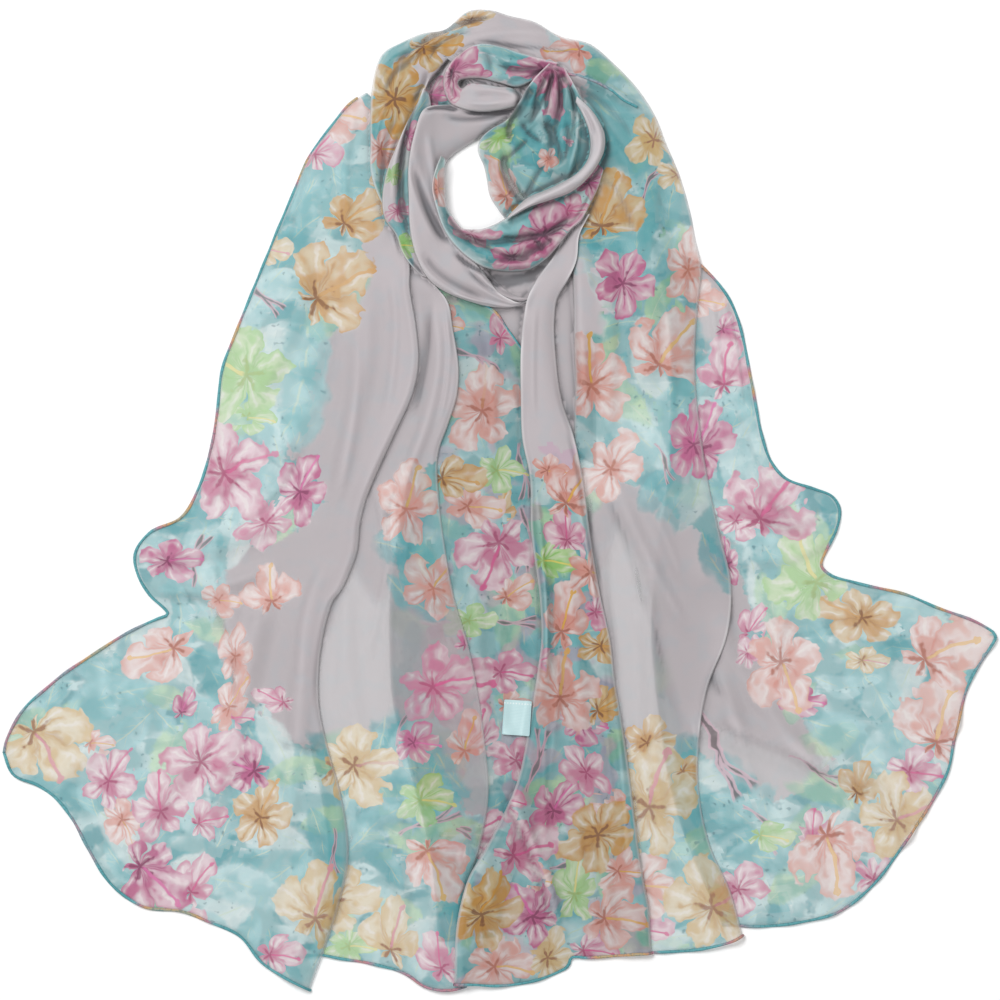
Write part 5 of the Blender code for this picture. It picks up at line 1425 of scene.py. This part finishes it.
# Loop, cap roll. It is a gathered roll above the hole, where the border meets the plain middle. It
# turns back under itself on the left, and the wrap that passes round it holds it.
lay_cloth("cap_roll", 1.6 * MM, [
    (39, 296, 37, 290, 10), (27, 299, 24, 284, 12), (13, 303, 11, 279, 14), (1, 307, -1, 282, 14),
    (-14, 309, -14, 285, 14), (-22, 306, -22, 285, 14), (-32, 298, -27, 284, 14), (-38, 288, -28, 282, 13),
    (-38, 278, -27, 280, 12), (-34, 269, -25, 279, 12), (-26, 265, -21, 282, 11), (-14, 263, -13, 282, 11),
    (0, 264, -1, 280, 11), (10, 266, 8, 279, 9), (17, 267, 15, 275, 5),
], folds=[
    (38, 294, 24, 290, -5, 292, 4, 4, -4), (8, 280, 14, 273, 11, 264, 2, 4, -6),
    (37, 294, 19, 298, -3, 303, 3, 3, -3), (37, 292, 20, 286, 4, 282, 3, 3, -3),
    (34, 295, 14, 292, -8, 295, 2, 3, -3), (-20, 306, -31, 296, -34, 277, 2, 3, -3),
    (-26, 299, -33, 286, -29, 269, 2, 2, -2.5), (-12, 306, -7, 296, -8, 286, 3, 3, -2.4),
    (-20, 273, -5, 274, 10, 271, 3, 3, -1.6), (-23, 269, -10, 268, 4, 269, 2, 2, 1.6),
    (-37, 292, -33, 283, -34, 273, 1, 2, 1.6),
], blooms=[
    (-31, 291, 22, "mauve", 60, 0.9), (27, 291, 24, "mauve", 190, 0.6), (-35, 272, 14, "pink", 100),
    (-16, 283, 11, "mauve", 10, 0.6),
], leaves=[
    (3, 303, 18, "turquoise", -10), (-5, 292, 15, "aqua", -40),
], plains=[[
    (-20, 301), (-8, 302), (-7, 288), (-15, 288), (0, 282), (27, 280), (27, 257), (-34, 257), (-29, 269),
    (-26, 280),
]])


# Loop, right strand. It runs from the gather down the right side of the hole, in narrow folds of
# flowered chiffon that are bunched together and not sewn.
lay_cloth("right_strand", 1.6 * MM, [
    (33, 295, 44, 292, 10), (24, 286, 48, 285, 12), (18, 278, 53, 277, 13), (13, 269, 57, 269, 14),
    (5, 258, 61, 260, 14), (-7, 251, 64, 252, 14), (-14, 244, 65, 243, 14), (-15, 237, 65, 235, 14),
    (-11, 227, 61, 226, 14), (-9, 218, 56, 218, 13), (-7, 207, 47, 211, 12), (-1, 197, 34, 205, 10),
    (5, 189, 22, 199, 8),
], folds=[
    (38, 292, 31, 275, 16, 245, 4, 4, -4), (41, 291, 41, 272, 33, 231, 4, 4, -4),
    (43, 290, 50, 272, 48, 231, 3, 3, -3), (0, 238, 8, 211, 27, 201, 5, 5, -4),
    (21, 282, 14, 270, 4, 256, 10, 6, -9), (48, 272, 52, 245, 42, 216, 3, 6, 3.2),
    (31, 264, 34, 245, 33, 224, 5, 5, -3.5), (0, 238, 0, 218, 14, 197, 3, 5, 2),
    (36, 292, 27, 277, 22, 258, 3, 3, -4.5), (37, 292, 33, 275, 31, 258, 2, 3, -4.5),
    (39, 292, 41, 276, 42, 260, 2, 3, -4.2), (40, 292, 48, 277, 52, 262, 2, 3, -4),
    (15, 269, 7, 256, 8, 241, 3, 4, -6), (27, 256, 38, 245, 41, 223, 3, 4, -4.5),
    (20, 246, 12, 238, -1, 227, 3, 3, -3.5), (3, 238, 7, 218, 22, 200, 3, 4, -4.5),
    (52, 260, 50, 231, 41, 209, 3, 4, 3), (31, 228, 24, 218, 15, 201, 3, 3, -3),
    (14, 258, 20, 248, 33, 241, 3, 3, -3.5), (44, 258, 46, 243, 42, 227, 3, 3, -3),
    (-4, 245, -10, 237, -8, 224, 3, 3, -2.5), (27, 265, 22, 254, 14, 249, 2, 3, 2.5),
    (35, 241, 33, 231, 35, 220, 2, 3, 2.5),
], blooms=[
    (35, 290, 31, "mauve", -84, 0.9), (3, 212, 27, "peach", 110, 0.7), (46, 243, 7, "pink", 0, 0.6),
    (33, 231, 10, "peach", 60), (-1, 245, 15, "lime", 200, 0.6), (18, 194, 14, "gold"),
], leaves=[
    (35, 252, 27, "teal", -80), (19, 238, 23, "teal", -40), (51, 238, 24, "turquoise", 90),
    (0, 238, 18, "green", -60), (27, 211, 24, "turquoise", -40),
])


# Loop, front band. It is the flowered border, folded over along the bottom of the hole, and it lies
# loose on the plain band.
lay_cloth("front_band", 1.6 * MM, [
    (-40, 233, -37, 231, 10), (-44, 223, -37, 222, 12), (-46, 211, -37, 211, 13), (-43, 197, -36, 199, 14),
    (-39, 185, -31, 191, 15), (-33, 175, -26, 185, 16), (-23, 165, -20, 184, 16), (-12, 158, -13, 184, 17),
    (2, 155, -4, 187, 18), (19, 156, 5, 192, 18), (31, 163, 16, 199, 18), (41, 174, 27, 204, 17),
    (49, 184, 39, 210, 16), (55, 189, 49, 216, 15), (61, 200, 57, 223, 14), (67, 213, 63, 230, 10),
    (70, 223, 67, 236, 8),
], folds=[
    (-37, 201, -15, 175, 46, 189, 5, 5, -5), (-14, 162, 20, 169, 58, 204, 5, 5, -4),
    (-1, 182, 20, 177, 53, 194, 3, 3, -4.5), (-20, 180, 0, 167, 29, 162, 3, 3, -3.5),
    (10, 160, 27, 170, 39, 178, 3, 3, -3.5), (-10, 186, 8, 190, 29, 199, 3, 3, 2.6),
    (-38, 200, -30, 186, -15, 175, 3, 3, -3), (41, 182, 53, 193, 63, 211, 2, 3, -3),
    (19, 182, 27, 173, 31, 165, 2, 3, -3), (-20, 165, 0, 160, 20, 159, 2, 2, 2),
    (-42, 224, -44, 211, -39, 200, 2, 2, -2.5),
], blooms=[
    (31, 180, 29, "mauve", 20, 0.9), (-18, 180, 18, "pink"), (10, 165, 20, "mauve"), (63, 215, 16, "mauve"),
    (-40, 211, 15, "peach", 0, 0.9), (50, 196, 16, "pink"),
], leaves=[
    (-7, 170, 27, "teal", -30), (14, 182, 23, "turquoise", 10), (-31, 187, 20, "teal", -60),
    (44, 187, 18, "turquoise", 40),
])


# Loop, crescent. It is the plain folded edge from the right of the loop to the bottom of the hole. It
# is the last turn of the cloth, so it lies on top.
lay_cloth("crescent", 1.6 * MM, [
    (52, 273, 51, 269, 8), (61, 265, 56, 260, 10), (67, 257, 60, 249, 12), (71, 248, 61, 239, 13),
    (71, 238, 59, 230, 14), (67, 228, 53, 222, 15), (59, 217, 44, 216, 16), (48, 208, 31, 210, 16),
    (35, 203, 19, 205, 15), (20, 198, 10, 197, 13), (9, 192, 4, 190, 11),
], folds=[
    (60, 261, 68, 245, 64, 227, 3, 3, 1.8), (54, 218, 38, 209, 14, 200, 3, 3, 1.8),
    (54, 267, 61, 256, 63, 245, 2, 2, -2.4),
], plains=[[
    (-7, 286), (95, 286), (95, 177), (-7, 177),
]])


# The care label. It is a small bare tape of thin satin, folded double, whose upper end is sewn into the
# hem of the cloth's long side. It lies slightly askew on the flowered cloth, with one corner lifted.
LABEL_SIZE = (19 * MM, 24 * MM)
LABEL_MIDDLE = (11.5 * MM, -148 * MM)
LABEL_TURN = np.radians(-4)
LABEL_ROWS, LABEL_COLUMNS = 17, 13
LABEL_LIFT = 0.9 * MM
LABEL_RIPPLE = 0.5 * MM
CORNER_LIFT = 1.3 * MM
LABEL_EASE_ROUNDS = 4
TAPE_THICKNESS = 0.3 * MM
RIBS_EACH_LENGTH = 150
STITCHES_EACH_WIDTH = 60
SEAM_HEIGHT = 0.90
SATIN_DARK, SATIN_LIGHT = (0.50, 0.70, 0.72), (0.62, 0.79, 0.80)
SELVEDGE_DYE, STITCH_PALE = (0.42, 0.64, 0.67), (0.80, 0.86, 0.86)

tape, tree, tape_shader = new_material("care_label_tape")
u, v, _ = shader_node(tree, "UVMap", {"uv_map": "tape"}, {}).parts()
ribs = (v * RIBS_EACH_LENGTH).sum("SINE") * 0.5 + 0.5
seam = (v * -1 + SEAM_HEIGHT).sum("ABSOLUTE").fades(0.030, 0.012)
sewn = seam * (u * STITCHES_EACH_WIDTH).sum("SINE").fades(-0.2, 0.2)
selvedge = (u - 0.5).sum("ABSOLUTE").fades(0.43, 0.46)
satin = over(SATIN_DARK, SATIN_LIGHT, ribs * 0.5)
satin = over(satin, SELVEDGE_DYE, selvedge * 0.7)
satin = over(satin, STITCH_PALE, sewn * 0.8)
tree.links.new(satin.socket, tape_shader.inputs["Base Color"])
bump = shader_node(tree, "Bump", {}, {"Strength": 0.2, "Distance": 0.3 * MM, "Height": ribs})
tree.links.new(bump.socket, tape_shader.inputs["Normal"])
tape_shader.inputs["Roughness"].default_value = 0.42
tape_shader.inputs["Sheen Weight"].default_value = 0.2
tape_shader.inputs["Alpha"].default_value = 0.86

across = np.linspace(-0.5, 0.5, LABEL_COLUMNS)[None, :].repeat(LABEL_ROWS, 0)
along = np.linspace(-0.5, 0.5, LABEL_ROWS)[:, None].repeat(LABEL_COLUMNS, 1)
x, y = across * LABEL_SIZE[0], along * LABEL_SIZE[1]
plan = np.dstack([
    LABEL_MIDDLE[0] + x * np.cos(LABEL_TURN) - y * np.sin(LABEL_TURN),
    LABEL_MIDDLE[1] + x * np.sin(LABEL_TURN) + y * np.cos(LABEL_TURN),
])
lift = LABEL_LIFT + LABEL_RIPPLE * np.sin(across * 3.0 + 1.2) ** 2
lift = lift + CORNER_LIFT * smooth_step((0.1 - along) * 1.2) * smooth_step(0.7 - across)
beneath = read_map(blurred(widest(height_map, 1), LABEL_EASE_ROUNDS), plan)
quads = grid_faces(LABEL_ROWS, LABEL_COLUMNS)
mesh = smooth_mesh("care_label_tape", np.dstack([plan, beneath + lift]), quads.tolist())
tape_uv = np.stack([across + 0.5, along + 0.5], -1).reshape(-1, 2)[quads]
mesh.uv_layers.new(name="tape").data.foreach_set("uv", tape_uv.ravel())
mesh.materials.append(tape)
label = linked_object(mesh)
fold = label.modifiers.new("double_tape", "SOLIDIFY")
fold.thickness = TAPE_THICKNESS
fold.offset = 1
smoothing = label.modifiers.new("soft_corners", "SUBSURF")
smoothing.levels = 1
smoothing.render_levels = 1
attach(label, "root")
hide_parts("care_label")


# The cut. The scarf is one rectangle, so each stretch says how large it is when it is opened out flat,
# over its folds, and its hems go with it. The relief is marked here too, since all of it is laid now.
LEAST_SHARE = 0.3

mark_relief()
for piece in pieces.values():
    flat = (piece["width"], piece["length"])
    area = max(min(piece["area"], flat[0] * flat[1]), LEAST_SHARE * flat[0] * flat[1])
